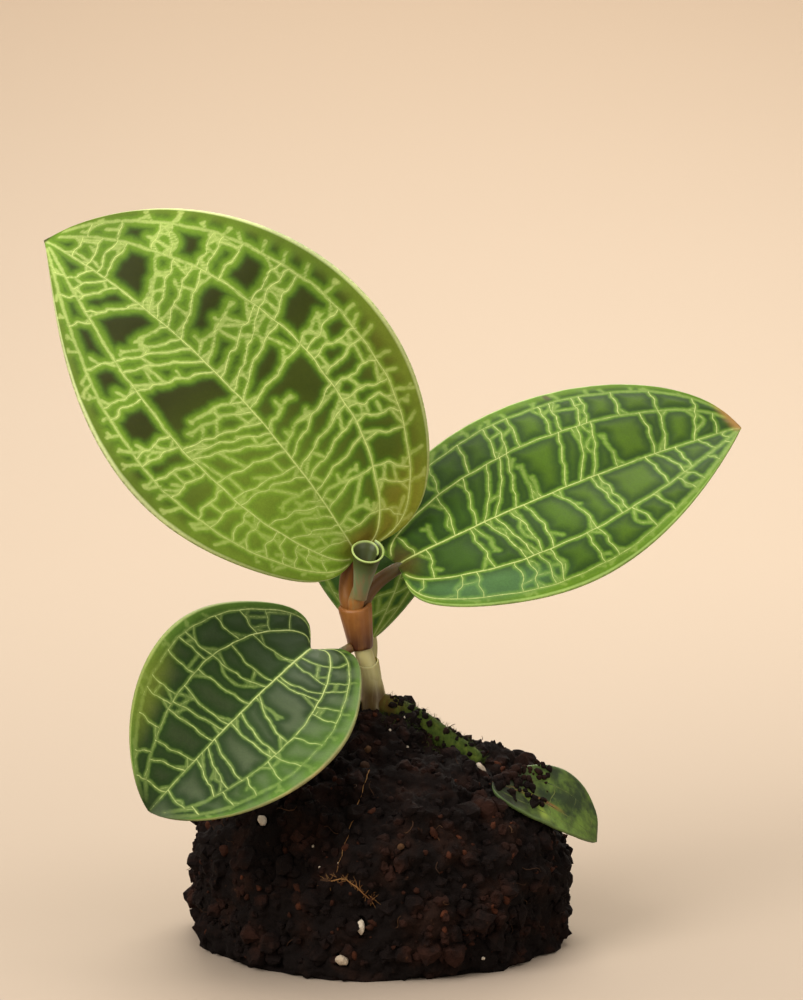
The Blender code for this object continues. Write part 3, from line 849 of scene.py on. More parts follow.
def shaded(tree, colour, value, low, high, darkest, brightest):
    shade = mapRange(tree, value, low, high, darkest, brightest)
    grey = addNode(tree, "ShaderNodeCombineColor", i0=shade, i1=shade, i2=shade).outputs[0]
    return mixColours(tree, 1.0, colour, grey, "MULTIPLY")


def letLightThrough(tree, shader, colour, amount):
    warmer = mixColours(tree, 0.35, colour, "a8c43e")
    glow = addNode(tree, "ShaderNodeBsdfTranslucent", Color=warmer).outputs[0]
    mix = addNode(tree, "ShaderNodeMixShader", i0=amount, i1=shader.outputs[0], i2=glow)
    tree.links.new(mix.outputs[0], tree.nodes["Material Output"].inputs["Surface"])


def leafMaterial(name, colours, group, patch):
    material, tree, shader = newMaterial(name, 0.52, colours["sheen"])
    along = readLayer(tree, "along")
    across = readLayer(tree, "across")
    middle = mixColours(tree, smoothStep(tree, along, 0.1, 0.6), colours["middleLow"], colours["middle"])
    spread = mapRange(tree, along, 0.3, 0.62, colours["nearBase"], 1.0)
    net = addNode(
        tree, "ShaderNodeGroup", {"node_tree": group},
        i0=readLayer(tree, "nerveGap"), i1=readLayer(tree, "veinGap"), i2=across,
        i3=objectNoise(tree, 1500.0, 2.0), i4=colours["vein"], i5=colours["tissue"], i6=colours["edge"],
        i7=middle, i8=colours["margin"], i9=colours["rim"], i10=times(tree, spread, colours["reach"]),
        i11=times(tree, spread, colours["field"]), i12=colours["halo"],
    )
    colour = shaded(tree, net.outputs[0], objectNoise(tree, 110.0), 0.3, 0.7, 0.84, 1.16)
    colour = tintPatches(tree, colour, colours["patches"], patch)
    # a painted sheen: a cool grey reflection over the fields, away from the veins and stronger towards the
    # left margin
    paintedSheen = smoothStep(tree, readLayer(tree, "veinGap"), 0.5, 1.6)
    paintedSheen = times(tree, paintedSheen, smoothStep(tree, across, -0.2, 0.5))
    colour = mixColours(tree, times(tree, paintedSheen, colours["paintedSheen"]), colour, "707e5c")
    # fine cells that sparkle, and a fine soft grain
    settings = {"feature": "F1"}
    cells = addNode(tree, "ShaderNodeTexVoronoi", settings, Vector=objectPlace(tree), Scale=5200.0).outputs[0]
    colour = shaded(tree, colour, cells, 0.0, 0.8, 1.07, 0.91)
    grain = objectNoise(tree, 2400.0, 3.0, 0.65)
    colour = shaded(tree, colour, grain, 0.3, 0.7, 0.94, 1.07)
    pale = mixColours(tree, 0.55, colour, "708054")
    colour = mixColours(tree, readLayer(tree, "underside"), colour, pale)
    tree.links.new(mapRange(tree, grain, 0.3, 0.7, 0.48, 0.6), shader.inputs["Roughness"])
    height = addMath(tree, "ADD", times(tree, cells, -0.5), times(tree, grain, 0.8))
    dress(tree, shader, colour, height, 0.25, 0.00006)
    letLightThrough(tree, shader, colour, colours["glow"])
    return material


def strandMaterial(name, colours, patch):
    material, tree, shader = newMaterial(name, 0.5, 0.25)
    clouds = objectNoise(tree, 900.0, 3.0, 0.6)
    dim = mixColours(tree, 0.25, colours["vein"], colours["tissue"])
    colour = mixColours(tree, smoothStep(tree, clouds, 0.42, 0.68), colours["vein"], dim)
    colour = tintPatches(tree, colour, colours["patches"], patch, 0.4)
    dress(tree, shader, colour, clouds, 0.2, 0.00005)
    letLightThrough(tree, shader, colour, colours["glow"])
    return material


# Petioles, stem and sheaths

# points and radii in millimetres
stalks = {
    "upperLeftPetiole": {
        "node": "leaf_upper_left", "leaf": upperLeft, "slot": "leaf", "colour": "amber",
        "points": [
            (-3.78, 0.57, 36.35), (-4.15, 0.5, 38.1), (-4.4, 0.8, 39.6),
            (-4.25, 1.0, 41.2), (-3.6, 1.35, 42.7),
        ],
        "radii": [0.7, 1.0, 0.9, 0.82, 0.8],
    },
    "rightPetiole": {
        "node": "leaf_right", "leaf": rightLeaf, "slot": "leaf", "colour": "umber",
        "points": [
            (-2.6, 0.57, 36.35), (-2.75, 0.5, 38.0), (-2.1, 0.8, 39.3), (-0.7, 1.0, 40.6), (0.9, 1.2, 41.7),
        ],
        "radii": [0.6, 1.0, 0.95, 0.8, 0.72],
    },
    "lowerLeftPetiole": {
        "node": "leaf_lower_left", "leaf": lowerLeft, "slot": "leaf", "colour": "olive",
        "points": [(-3.8, -0.8, 33.3), (-5.3, -1.5, 32.5), (-6.9, -2.6, 32.5), (-8.0, -3.8, 33.1)],
        "radii": [0.6, 0.55, 0.5, 0.45],
    },
    "backPetiole": {
        "node": "leaf_back", "leaf": backLeaf, "slot": "leaf", "colour": "pale",
        "points": [(-1.5, 1.5, 29.9), (-1.6, 2.2, 31.3), (-1.5, 2.8, 32.8)],
        "radii": [0.5, 0.65, 0.65],
    },
    "uprightStem": {
        "node": "stem", "leaf": None, "slot": "stem", "colour": "pale",
        "points": [
            (-1.2, 0.0, 12.0), (-1.2, 0.0, 25.0), (-1.35, 0.0, 28.5), (-1.9, 0.05, 31.0),
            (-2.7, 0.1, 33.3), (-3.15, 0.22, 36.0),
        ],
        "radii": [1.3, 1.7, 1.3, 1.0, 1.02, 1.15],
    },
    "creepingStem": {
        "node": "stem", "leaf": None, "slot": "stem", "colour": "mossy",
        "points": [
            (-1.3, 0.0, 26.9), (1.2, -0.2, 26.0), (4.2, -0.6, 24.4), (7.2, -1.5, 22.6),
            (9.2, -2.8, 21.6), (10.8, -3.9, 20.8),
        ],
        "radii": [1.3, 1.5, 1.45, 1.3, 1.1, 0.8],
    },
    "newLeafStalk": {
        "node": "rolled_leaf", "leaf": None, "slot": "rolled_leaf", "colour": "newLeaf",
        "points": [(-3.19, -0.45, 36.35), (-3.4, -0.5, 38.0), (-3.05, -0.9, 39.1), (-2.8, -1.2, 40.2)],
        "radii": [0.6, 0.95, 0.9, 0.78],
    },
}

# where a stalk runs on under its leaf, as shares of the leaf's length, and how thick it is there
keel = {"places": (0.02, 0.08, 0.16, 0.28, 0.45, 0.62), "radii": (0.7, 0.6, 0.48, 0.34, 0.22, 0.12)}

stalkColours = {
    # body, dark and light streaks, then the colour it fades to, the axis, and where the fading starts and
    # ends in millimetres
    "amber": ("905c26", "70421a", "a07440", "643614", 2, 40.0, 42.6),
    "umber": ("563a18", "3c2812", "624620", "46421c", 0, -1.0, 2.0),
    "olive": ("3e4a22", "2a3016", "545e2e", "60421e", 0, -5.4, -4.2),
    "pale": ("a8a06c", "8a7a4c", "b8ae80", "503e1a", 2, 30.4, 27.6),
    "mossy": ("344216", "14160a", "586224", "4a3a18", 0, 3.4, 0.2),
    # the sheath's fade towards its foot is painted shade, darkest along its lower edge
    "sheath": ("8a5622", "6c3e18", "966836", "44200c", 2, 37.0, 33.3),
    "newLeaf": ("70643c", "584c2a", "7c7048", "96602a", 2, 39.4, 38.4),
}


def stalkMaterial(name, colours):
    rough = name == "mossyStalk"
    material, tree, shader = newMaterial(name, 0.9 if rough else 0.45, 0.1 if rough else 0.35)
    body, dark, light, fade, axis, start, end = colours
    streaks = streakNoise(tree, 170.0, 4.0)
    clouds = objectNoise(tree, 420.0)
    where = addNode(tree, "ShaderNodeSeparateXYZ", i0=objectPlace(tree)).outputs[axis]
    colour = mixColours(tree, smoothStep(tree, where, start * mm, end * mm), body, fade)
    colour = mixColours(tree, times(tree, smoothStep(tree, streaks, 0.42, 0.75), 0.5), colour, light)
    colour = mixColours(tree, times(tree, smoothStep(tree, clouds, 0.5, 0.78), 0.7), colour, dark)
    height = addMath(tree, "ADD", times(tree, streaks, 0.7), times(tree, clouds, 0.5))
    dress(tree, shader, colour, height, 0.6 if rough else 0.2, 0.0001)
    shader.inputs["Subsurface Weight"].default_value = 0.15
    shader.inputs["Subsurface Scale"].default_value = 0.001
    shader.inputs["Subsurface Radius"].default_value = (1.0, 0.7, 0.3)
    return material


def buildRod(name, points, radii, material):
    # a round rod along a smooth line, a little uneven
    curve = bpy.data.curves.new(name, "CURVE")
    curve.dimensions = "3D"
    curve.bevel_depth = 1.0
    curve.bevel_resolution = 8
    curve.use_fill_caps = True
    curve.resolution_u = 14
    spline = curve.splines.new("NURBS")
    spline.points.add(len(points) - 1)
    spline.order_u = 3
    spline.use_endpoint_u = True
    for point, place, radius in zip(spline.points, points, radii):
        point.co = (*(Vector(place) * mm), 1.0)
        point.radius = radius * mm
    guide = bpy.data.objects.new(name + "Guide", curve)
    pieces.objects.link(guide)
    mesh = evaluatedMesh(guide)
    bpy.data.objects.remove(guide)

    def ripple(vertex):
        place = Vector((vertex.co.x * 500, vertex.co.y * 500, vertex.co.z * 260))
        return vertex.normal * noise.noise(place) * 0.05 * mm

    editMesh(mesh, 1e-6, ripple, freshNormals=False)
    return addThing(name, mesh, material)


def buildStalks():
    materials = {name: stalkMaterial(name + "Stalk", colours) for name, colours in stalkColours.items()}
    for name, stalk in stalks.items():
        points = list(stalk["points"])
        radii = list(stalk["radii"])
        if stalk["leaf"]:
            # the stalk runs on under the midrib as a keel
            up = leafAxes(stalk["leaf"])[2]
            for t, radius in zip(keel["places"], keel["radii"]):
                points.append(leafPoints(stalk["leaf"], t, 0.0) / mm - up * (0.85 * radius))
                radii.append(radius)
        settle(buildRod(name, points, radii, materials[stalk["colour"]]), stalk["node"])
    return materials


# foot and mouth in millimetres, the inner radius and the wall at both, and how much of the inside is open
sheaths = {
    "brownSheath": {
        "node": "leaf_lower_left", "foot": (-2.66, 0.08, 32.9), "mouth": (-3.45, 0.3, 38.0),
        "inner": (1.16, 1.58), "wall": (0.2, 0.42), "slant": 0.7, "plug": 0.55,
        "colour": "sheath", "slot": "leaf",
    },
    "paleCollar": {
        "node": "leaf_back", "foot": (-1.5, 0.0, 29.3), "mouth": (-1.97, 0.08, 31.5), "inner": (1.1, 1.12),
        "wall": (0.04, 0.14), "slant": 0.8, "plug": 1.0, "colour": "pale", "slot": "leaf",
    },
}


def tiltedAxis(data):
    # a piece's foot, its way to the mouth and the turn from upright into that way
    foot = Vector(data["foot"]) * mm
    span = Vector(data["mouth"]) * mm - foot
    return foot, span, Vector((0.0, 0.0, 1.0)).rotation_difference(span).to_matrix()


def ringPoint(angle, radius, lift=0.0):
    return Vector((math.cos(angle) * radius, math.sin(angle) * radius, lift))


def buildSheaths(materials):
    # a tapering tube round the stem, with fine ribs and a thin slanting mouth
    turns, rows = 72, 26
    for name, sheath in sheaths.items():
        foot, span, turn = tiltedAxis(sheath)
        (footInner, mouthInner), (footWall, mouthWall) = sheath["inner"], sheath["wall"]
        heights = [(row / (rows - 1), 1.0) for row in range(rows)]
        heights += [(1.0 - row / (rows - 1), 0.0) for row in range(rows)]
        vertices = []
        for height, outer in heights:
            inner = footInner + (mouthInner - footInner) * height**1.3
            if not outer:
                inner *= sheath["plug"] + (1.0 - sheath["plug"]) * max(0.0, (height - 0.9) / 0.1)
            wall = footWall + (mouthWall - footWall) * height
            thin = math.sqrt(max(0.0, 1.0 - abs(2.0 * height - 1.0) ** 10))
            for step in range(turns):
                angle = 2.0 * math.pi * step / turns
                rib = 0.03 * math.sin(5.0 * angle + 2.0 * height) + 0.01 * math.sin(17.0 * angle)
                radius = (inner + outer * (wall * (0.2 + 0.8 * thin) + rib)) * mm
                lift = math.sin(angle) + 0.3 * math.sin(2.0 * angle + 1.0)
                lift *= sheath["slant"] * mm * height**3 * 0.5
                vertices.append(foot + span * height + turn @ ringPoint(angle, radius, lift))
        index = np.arange(len(vertices)).reshape(-1, turns)
        faces = ringQuads(np.vstack([index, index[:1]]))
        thing = addMesh(name, vertices, faces, materials[sheath["colour"]])
        editMesh(thing.data)
        settle(thing, sheath["node"])


rolledLeaf = {
    "foot": (-2.9, -1.15, 38.9), "mouth": (-1.85, -1.85, 44.6), "footRadius": 0.74, "mouthRadius": 1.66,
    "turn": 425.0, "slant": 1.7, "openAt": 5.0, "wall": 0.2, "innerShare": 0.66,
}


def rolledMaterial():
    material, tree, shader = newMaterial("rolledBlade", 0.42, 0.45)
    height = readLayer(tree, "height")
    streaks = streakNoise(tree, 160.0, 3.0)
    colour = mixColours(tree, smoothStep(tree, streaks, 0.4, 0.66), "606e46", "766242")
    for low, high, tint in ((0.35, 0.9, "3c441c"), (0.25, 0.0, "70623a"), (0.95, 0.99, "9cae60")):
        colour = mixColours(tree, smoothStep(tree, height, low, high), colour, tint)
    dress(tree, shader, colour, streaks, 0.3, 0.0001)
    return material


def buildRolledLeaf():
    # a scroll whose inner edge lies behind the outer one, with a rolled pale rim
    turns, rows = 130, 60
    data = rolledLeaf
    foot, span, turn = tiltedAxis(data)
    vertices = []
    for row in range(rows):
        height = row / (rows - 1)
        for step in range(turns):
            around = step / (turns - 1)
            angle = math.radians(data["openAt"] + data["turn"] * around)
            scroll = data["innerShare"] + (1.0 - data["innerShare"]) * min(1.0, 2.6 * around)
            radius = data["footRadius"] + (data["mouthRadius"] - data["footRadius"]) * height**1.5
            radius = (radius * scroll + 0.02 * math.sin(3.0 * angle + 5.0 * height)) * mm
            lift = data["slant"] * mm * math.sin(angle) * height**2 / 2.0
            lift += 0.5 * mm * height**3 * (math.sqrt(around) - 1.0)
            flare = mm * max(0.0, height - 0.88) * scroll
            vertices.append(foot + span * height + turn @ ringPoint(angle, radius + flare, lift))
    faces = sheetQuads(np.arange(len(vertices)).reshape(rows, turns))[:, ::-1]
    thing = addMesh("rolledNewLeaf", vertices, faces.tolist(), rolledMaterial())
    addLayer(thing.data, "height", np.repeat(np.linspace(0.0, 1.0, rows), turns))
    wall = thing.modifiers.new("wall", "SOLIDIFY")
    wall.thickness = data["wall"] * mm
    wall.offset = 0.0
    edge = thing.modifiers.new("softEdge", "BEVEL")
    edge.width = 0.07 * mm
    edge.segments = 2
    edge.limit_method = "ANGLE"
    bake(thing)
    thing.data.shade_smooth()
    settle(thing, "rolled_leaf")


# Root ball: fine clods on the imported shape, then crumbs, bark bits, fibres and moss by Geometry Nodes

soil = {
    "clodSize": 2.1 * mm, "clodRelief": 1.1 * mm, "grainSize": 0.7 * mm, "grainRelief": 0.4 * mm,
    "lumpSize": 4.2 * mm, "lumpRelief": 0.6 * mm, "floor": 0.25 * mm, "grainClearance": 1.5 * mm,
}

# dark, warm and light parts, and the roughness
mixLooks = {
    "peatMix": ("110b09", "22140e", "422a1c", 0.95),
    "crumbDark": ("130c0a", "2c1912", "503422", 0.95),
    "barkBit": ("301a11", "4e2a1a", "70462a", 0.95),
    "whiteGrit": ("c8baa6", "b29e86", "ded4c4", 0.9),
    "rootHair": ("38261a", "543a24", "6e5032", 0.8),
    "mossTuft": ("303e14", "506020", "767a32", 0.8),
    "strawFibre": ("966a3e", "b88e5a", "d6b682", 0.8),
}

# where grains may lie: the surface, the node it stands for and the box, in millimetres
regions = {
    "ball": ("pottingMix", "root_ball", (-24.0, -24.0, 1.4), (24.0, 24.0, 30.0)),
    "upperBall": ("pottingMix", "root_ball", (-24.0, -24.0, 3.0), (24.0, 24.0, 30.0)),
    "slope": ("pottingMix", "root_ball", (-0.5, -4.5, 19.5), (10.0, 3.5, 30.0)),
    "oldStem": ("creepingStem", "stem", (0.2, -6.0, 20.5), (12.0, 1.5, 30.0)),
}

# region, grain, number on a square millimetre, smallest and largest size, seed, lean, material and slot
scattered = {
    "mixCrumbs": ("ball", "crumb", 0.36, 0.2, 1.25, 3, 1.5, "crumbDark", "potting_mix"),
    "mixClods": ("ball", "crumb", 0.05, 1.3, 2.6, 4, 1.5, "crumbDark", "potting_mix"),
    "barkBits": ("ball", "chip", 0.06, 0.2, 0.75, 8, 1.5, "barkBit", "potting_mix"),
    "whiteGrit": ("ball", "grit", 0.008, 0.2, 0.4, 5, 1.5, "whiteGrit", "perlite"),
    "rootHairs": ("upperBall", "hair", 0.02, 0.8, 2.4, 13, 1.3, "rootHair", "potting_mix"),
    "mossTufts": ("slope", "hair", 3.6, 0.3, 0.8, 21, 0.7, "mossTuft", "potting_mix"),
    "stemMoss": ("oldStem", "hair", 8.0, 0.25, 0.7, 22, 0.9, "mossTuft", "potting_mix"),
    "stemCrumbs": ("oldStem", "crumb", 0.9, 0.2, 0.9, 23, 1.5, "crumbDark", "potting_mix"),
}
facetted = ("mixCrumbs", "mixClods")


def nodeCopy(name, source, material):
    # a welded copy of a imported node's mesh
    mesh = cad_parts[source].data.copy()
    editMesh(mesh, 1e-6)
    return addThing(name, mesh, material)


def mixMaterial(name, dark, warm, light, roughness):
    material, tree, shader = newMaterial(name, roughness, 0.1)
    fine = objectNoise(tree, 900.0, 6.0, 0.7)
    colour = mixColours(tree, smoothStep(tree, objectNoise(tree, 260.0), 0.45, 0.7), dark, warm)
    colour = mixColours(tree, smoothStep(tree, fine, 0.62, 0.8), colour, light)
    dress(tree, shader, colour, fine, 1.0, 0.0005)
    return material


def buildSoil(material):
    ball = nodeCopy("pottingMix", "root_ball", material)
    refine(ball, "SIMPLE")
    corners = [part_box(f"perlite_{index}") for index in range(1, 8)]
    grains = [(Vector(low) + Vector(high)) / 2.0 for low, high in corners]

    def roughen(vertex):
        # clods, lumps and grains that fade round the white grains, over a flat underside
        place = vertex.co
        if place.z <= soil["floor"]:
            return Vector((0.0, 0.0, max(place.z, 0.0) - place.z))
        clod = 0.42 - noise.voronoi(place / soil["clodSize"])[0][0]
        lump = noise.noise(place / soil["lumpSize"])
        grain = noise.fractal(place / soil["grainSize"], 0.8, 2.1, 3)
        rise = soil["clodRelief"] * clod + soil["lumpRelief"] * lump + soil["grainRelief"] * grain
        nearest = min((place - centre).length for centre in grains)
        shift = vertex.normal * rise * min(1.0, max(0.0, nearest / soil["grainClearance"] - 0.6))
        shift.z = max(shift.z, -place.z)
        return shift

    editMesh(ball.data, move=roughen)
    settle(ball, "root_ball")
    return ball


def crumbShape(name, seed, stretch):
    shape = bmesh.new()
    bmesh.ops.create_icosphere(shape, subdivisions=2, radius=0.5 * mm)
    offset = Vector((seed * 7.3, seed * 3.1, seed * 1.7))
    for vertex in shape.verts:
        wobble = noise.noise(vertex.co / (0.42 * mm) + offset)
        wobble += 0.5 * noise.noise(vertex.co / (0.2 * mm) + offset)
        vertex.co *= 1.0 + 0.45 * wobble
        vertex.co.x *= stretch
    return addThing(name, meshFrom(shape, name))


def hairShape(name):
    # a thin bent root hair, one millimetre long, that starts at the origin
    rows, turns = 7, 5
    vertices = []
    for row in range(rows):
        f = row / (rows - 1)
        centre = Vector((0.25 * math.sin(2.6 * f), 0.16 * math.sin(5.0 * f + 0.6) - 0.09, f)) * mm
        radius = 0.035 * mm * (1.0 - 0.6 * f)
        vertices.extend(centre + ringPoint(2.0 * math.pi * step / turns, radius) for step in range(turns))
    return addMesh(name, vertices, cordFaces(rows, turns))


def scatterTree():
    # grains set at random on a surface inside a box, turned and sized at random
    sockets = {
        "Geometry": "Geometry", "Grain": "Object", "Density": "Float", "Smallest": "Float",
        "Largest": "Float", "Seed": "Int", "Low Corner": "Vector", "High Corner": "Vector", "Lean": "Float",
        "Material": "Material",
    }
    tree, source, result = newGroup("scatterOnMix", "GeometryNodeTree", sockets, "Geometry", "Geometry")

    def vectors(operation, first, second):
        return addNode(tree, "ShaderNodeVectorMath", {"operation": operation}, i0=first, i1=second).outputs[0]

    place = tree.nodes.new("GeometryNodeInputPosition").outputs[0]
    above = vectors("SUBTRACT", place, source["Low Corner"])
    below = vectors("SUBTRACT", source["High Corner"], place)
    parts = addNode(tree, "ShaderNodeSeparateXYZ", i0=vectors("MINIMUM", above, below)).outputs
    smallest = addMath(tree, "MINIMUM", addMath(tree, "MINIMUM", parts[0], parts[1]), parts[2])
    inside = addNode(tree, "FunctionNodeCompare", {"operation": "GREATER_THAN"}, i0=smallest, i1=0.0)
    points = addNode(
        tree, "GeometryNodeDistributePointsOnFaces", {"distribute_method": "RANDOM"},
        Mesh=source["Geometry"], Selection=inside.outputs[0], Density=source["Density"], Seed=source["Seed"],
    ).outputs
    size = addNode(
        tree, "FunctionNodeRandomValue", {"data_type": "FLOAT"},
        i2=source["Smallest"], i3=source["Largest"], Seed=source["Seed"],
    ).outputs[1]
    spin = addNode(
        tree, "FunctionNodeRandomValue", {"data_type": "FLOAT_VECTOR"},
        i0=(-1.0, -1.0, -3.1416), i1=(1.0, 1.0, 3.1416), Seed=source["Seed"],
    ).outputs[0]
    lean = addNode(tree, "ShaderNodeCombineXYZ", i0=source["Lean"], i1=source["Lean"], i2=1.0).outputs[0]
    grain = addNode(tree, "GeometryNodeObjectInfo", Object=source["Grain"]).outputs["Geometry"]
    copies = addNode(
        tree, "GeometryNodeInstanceOnPoints",
        Points=points["Points"], Instance=grain, Rotation=points["Rotation"], Scale=size,
    ).outputs[0]
    turn = vectors("MULTIPLY", spin, lean)
    rotated = addNode(tree, "GeometryNodeRotateInstances", Instances=copies, Rotation=turn).outputs[0]
    real = addNode(tree, "GeometryNodeRealizeInstances", Geometry=rotated).outputs[0]
    finish = addNode(tree, "GeometryNodeSetMaterial", Geometry=real, Material=source["Material"])
    tree.links.new(finish.outputs[0], result)
    return tree


def buildScattered(materials):
    tree = scatterTree()
    grains = {
        "crumb": crumbShape("crumbGrain", 1, 1.15), "chip": crumbShape("barkGrain", 2, 1.9),
        "grit": crumbShape("gritGrain", 3, 1.1), "hair": hairShape("rootHairStrand"),
    }
    for name, (region, grain, density, smallest, largest, seed, lean, look, slot) in scattered.items():
        surface, node, low, high = regions[region]
        values = {
            "Grain": grains[grain], "Density": density / mm**2, "Smallest": smallest, "Largest": largest,
            "Seed": seed, "Low Corner": [v * mm for v in low], "High Corner": [v * mm for v in high],
            "Lean": lean, "Material": materials[look],
        }
        thing = addThing(name, bpy.data.objects[surface].data.copy())
        modifier = thing.modifiers.new("scatter", "NODES")
        modifier.node_group = tree
        for item in tree.interface.items_tree:
            if item.in_out == "INPUT" and item.name in values:
                modifier[item.identifier] = values[item.name]
        bake(thing)
        if name in facetted:
            thing.data.shade_flat()
        else:
            thing.data.shade_smooth()
        settle(thing, node)
    for helper in grains.values():
        bpy.data.objects.remove(helper)


# Bits and fibres that the photograph shows at known places on the ball

placedBits = {
    # picture column and row, size and stretch
    "rootHair": ((365, 767, 1.3, 1.1), (367, 750, 0.8, 1.2), (326, 883, 1.1, 1.2), (400, 847, 0.7, 1.3)),
    "barkBit": (
        (433, 832, 0.8, 1.8), (346, 848, 0.9, 1.2), (226, 851, 1.2, 1.2), (300, 905, 0.9, 1.4),
        (505, 900, 0.8, 1.4),
    ),
}
pieceNames = {"rootHair": "tanBits", "barkBit": "warmBits"}
fibreTuft = {
    "arc": ((324, 885), (333, 880), (345, 879), (357, 888), (366, 895), (374, 904)), "count": 64, "seed": 31,
    "shortest": 0.3, "longest": 1.1, "radius": 0.026, "cordRadius": 0.06,
}
longFibre = {"line": ((369, 772), (362, 795), (353, 820), (345, 845), (338, 872)), "radius": 0.035}
fallenCrumbs = {"count": 90, "seed": 17, "smallest": 0.25, "largest": 1.1}


def castFromCamera(surface, column, row, lift=0.0):
    # the line of sight through a place in the picture: where it meets the ball, raised, and the normal
    eye, back = cameraPlace()
    rightwards = Vector((1.0, 0.0, 0.0))
    width, height = camera["picture"]
    course = -back * (camera["lens"] / camera["sensor"] * height)
    course += rightwards * (column - width / 2) + back.cross(rightwards) * (height / 2 - row)
    place, normal, _, _ = surface.ray_cast(eye, course.normalized())
    return place + normal * lift * mm, normal


def addGrains(name, grains, material, seed):
    # rough grains as (place, size, stretch), joined in one piece
    rng = np.random.default_rng(seed)
    shape = bmesh.new()
    for place, size, stretch in grains:
        made = bmesh.ops.create_icosphere(shape, subdivisions=2, radius=0.5 * size * mm)["verts"]
        turn = Matrix.Rotation(rng.uniform(0.0, 6.28), 3, Vector(rng.standard_normal(3)).normalized())
        offset = Vector(rng.uniform(0.0, 50.0, 3))
        for vertex in made:
            spot = vertex.co * (1.0 + 0.5 * noise.noise(vertex.co / (0.45 * size * mm) + offset))
            spot.x *= stretch
            vertex.co = turn @ spot + place
    settle(addThing(name, meshFrom(shape, name), material))


def addFibres(name, strands, material):
    # thin round threads as (points, radii), joined in one piece
    sides = 5
    vertices, faces = [], []
    total = 0
    for points, radii in strands:
        points = np.asarray(points)
        course = unit(np.gradient(points, axis=0))
        side = unit(np.cross(course, np.array((0.36, 0.48, 0.8))))
        other = np.cross(course, side)
        width = np.asarray(radii)[:, None] * mm
        rings = []
        for angle in 2.0 * math.pi * np.arange(sides) / sides:
            rings.append(points + (side * math.cos(angle) + other * math.sin(angle)) * width)
        vertices.append(np.stack(rings, axis=1).reshape(-1, 3))
        faces.extend(cordFaces(len(points), sides, total))
        total += len(points) * sides
    thing = addMesh(name, np.concatenate(vertices).tolist(), faces, material)
    editMesh(thing.data)
    settle(thing)


def alongLine(line, count):
    line = np.asarray(line, float)
    travelled = stepsAlong(line)
    wanted = np.linspace(0.0, travelled[-1], count)
    return np.stack([np.interp(wanted, travelled, line[:, axis]) for axis in range(2)], axis=-1)


def buildPlacedBits(ball, materials):
    shape = bmesh.new()
    shape.from_mesh(ball.data)
    surface = BVHTree.FromBMesh(shape)
    shape.free()
    for look, bits in placedBits.items():
        grains = [(castFromCamera(surface, *spot, 0.1)[0], size, stretch) for *spot, size, stretch in bits]
        addGrains(pieceNames[look], grains, materials[look], 40)
    line = [castFromCamera(surface, *spot, 0.25)[0] for spot in alongLine(longFibre["line"], 26)]
    cord = [castFromCamera(surface, *spot, 0.12)[0] for spot in alongLine(fibreTuft["arc"], 22)]
    threads = [
        (line, np.linspace(1.0, 0.6, len(line)) * longFibre["radius"]),
        (cord, np.full(len(cord), fibreTuft["cordRadius"])),
    ]
    rng = np.random.default_rng(fibreTuft["seed"])
    steps = np.linspace(0.0, 1.0, 8)
    for column, row in alongLine(fibreTuft["arc"], fibreTuft["count"]):
        place, normal = castFromCamera(surface, column + rng.normal(0.0, 1.4), row + rng.normal(0.0, 1.4))
        course = Vector(normal) * 0.5 + Vector(rng.standard_normal(3)) * 0.6 + Vector((0.0, -0.2, 0.3))
        course.normalize()
        bend = Vector(rng.standard_normal(3)) * 0.5
        length = rng.uniform(fibreTuft["shortest"], fibreTuft["longest"]) * mm
        points = [place + course * length * f + bend * length * f * f * 0.6 for f in steps]
        threads.append((points, fibreTuft["radius"] * (1.0 - 0.6 * steps)))
    addFibres("tanFibres", threads, materials["strawFibre"])
    rng = np.random.default_rng(fallenCrumbs["seed"])
    grains = []
    for _ in range(fallenCrumbs["count"]):
        t = 0.46 * rng.random() ** 1.2 + 0.02
        s = 0.98 - 1.3 * rng.random() ** 1.6
        size = rng.uniform(fallenCrumbs["smallest"], fallenCrumbs["largest"]) * (1.0 - 0.5 * t)
        place, normal = upperSkin(oldLeaf, np.array([t]), np.array([s]))
        grains.append((Vector(place[0]) + Vector(normal[0]) * 0.14 * size * mm, size, 1.25))
    addGrains("crumbsOnOldLeaf", grains, materials["crumbDark"], 44)


def buildPerlite(material):
    def roughen(vertex):
        return vertex.normal * noise.fractal(vertex.co / (0.35 * mm), 0.8, 2.0, 3) * 0.06 * mm

    for index in range(1, 8):
        thing = nodeCopy(f"perliteGrain{index}", f"perlite_{index}", material)
        refine(thing, "CATMULL_CLARK")
        editMesh(thing.data, move=roughen)
        settle(thing, f"perlite_{index}")


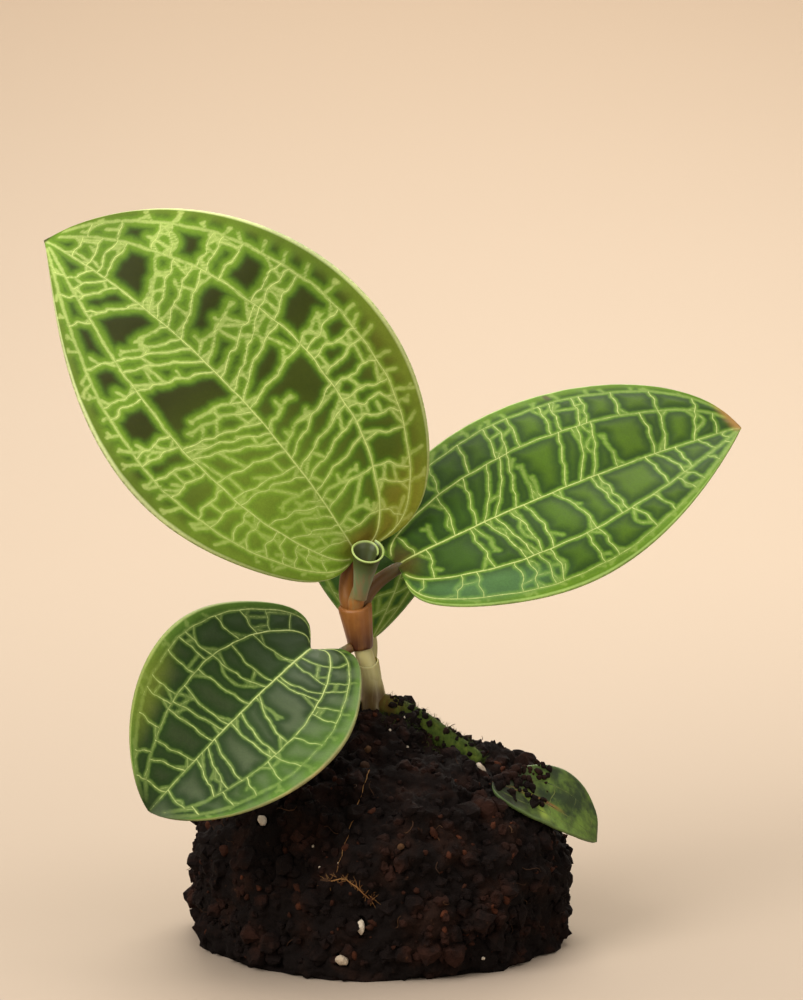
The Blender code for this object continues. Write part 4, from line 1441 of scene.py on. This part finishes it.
def oldLeafMaterial():
    material, tree, shader = newMaterial("oldBlade", 0.5, 0.35)
    blotches = objectNoise(tree, 330.0, 4.0, 0.6)
    grain = objectNoise(tree, 1800.0, 3.0, 0.65)
    along = readLayer(tree, "along")
    across = readLayer(tree, "across")
    side = addMath(tree, "ABSOLUTE", across)
    colour = mixColours(tree, smoothStep(tree, blotches, 0.36, 0.64), "223214", "5c742a")
    colour = mixColours(tree, times(tree, smoothStep(tree, along, 0.55, 0.1), 0.85), colour, "1a1c0e")
    light = smoothStep(tree, objectNoise(tree, 210.0, 2.0), 0.56, 0.7)
    light = times(tree, light, smoothStep(tree, across, 0.4, -0.5))
    colour = mixColours(tree, light, colour, "7e9234")
    colour = shaded(tree, colour, grain, 0.3, 0.7, 0.86, 1.12)
    midrib = times(tree, smoothStep(tree, side, 0.09, 0.02), smoothStep(tree, along, 0.66, 0.5))
    colour = mixColours(tree, times(tree, midrib, 0.75), colour, "844e28")
    colour = mixColours(tree, times(tree, smoothStep(tree, side, 0.88, 0.985), 0.5), colour, "627a42")
    dress(tree, shader, colour, blotches, 0.35, 0.0002)
    return material


def oldStrandMaterial():
    material, tree, shader = newMaterial("oldVein", 0.5, 0.3)
    pale = smoothStep(tree, objectNoise(tree, 500.0), 0.4, 0.62)
    dress(tree, shader, mixColours(tree, pale, "303e1a", "60682e"))
    return material


def buildLeaves():
    group = netGroup()
    patch = patchGroup()
    blades = (
        ("upperLeftBlade", upperLeft, "upperLeft", "leaf_upper_left"),
        ("rightBlade", rightLeaf, "right", "leaf_right"),
        ("lowerLeftBlade", lowerLeft, "lowerLeft", "leaf_lower_left"),
        ("backBlade", backLeaf, "back", "leaf_back"),
    )
    for name, leaf, colours, node in blades:
        skin = leafMaterial(name + "Skin", leafColours[colours], group, patch)
        strands = strandMaterial(name + "Vein", leafColours[colours], patch)
        buildBlade(name, leaf, skin, strands, node)
    buildBlade("oldBlade", oldLeaf, oldLeafMaterial(), oldStrandMaterial(), "old_leaf")


placeCamera()
placeLamps()
placeWorld()
buildStudio()
print("camera and studio placed")
buildLeaves()
print("leaves built")
stalkMaterials = buildStalks()
buildSheaths(stalkMaterials)
buildRolledLeaf()
print("stalks, sheaths and rolled leaf built")
mixMaterials = {name: mixMaterial(name, *looks) for name, looks in mixLooks.items()}
mix = buildSoil(mixMaterials["peatMix"])
buildScattered(mixMaterials)
buildPlacedBits(mix, mixMaterials)
buildPerlite(mixMaterials["whiteGrit"])
print("root ball built")

print("looks finished")
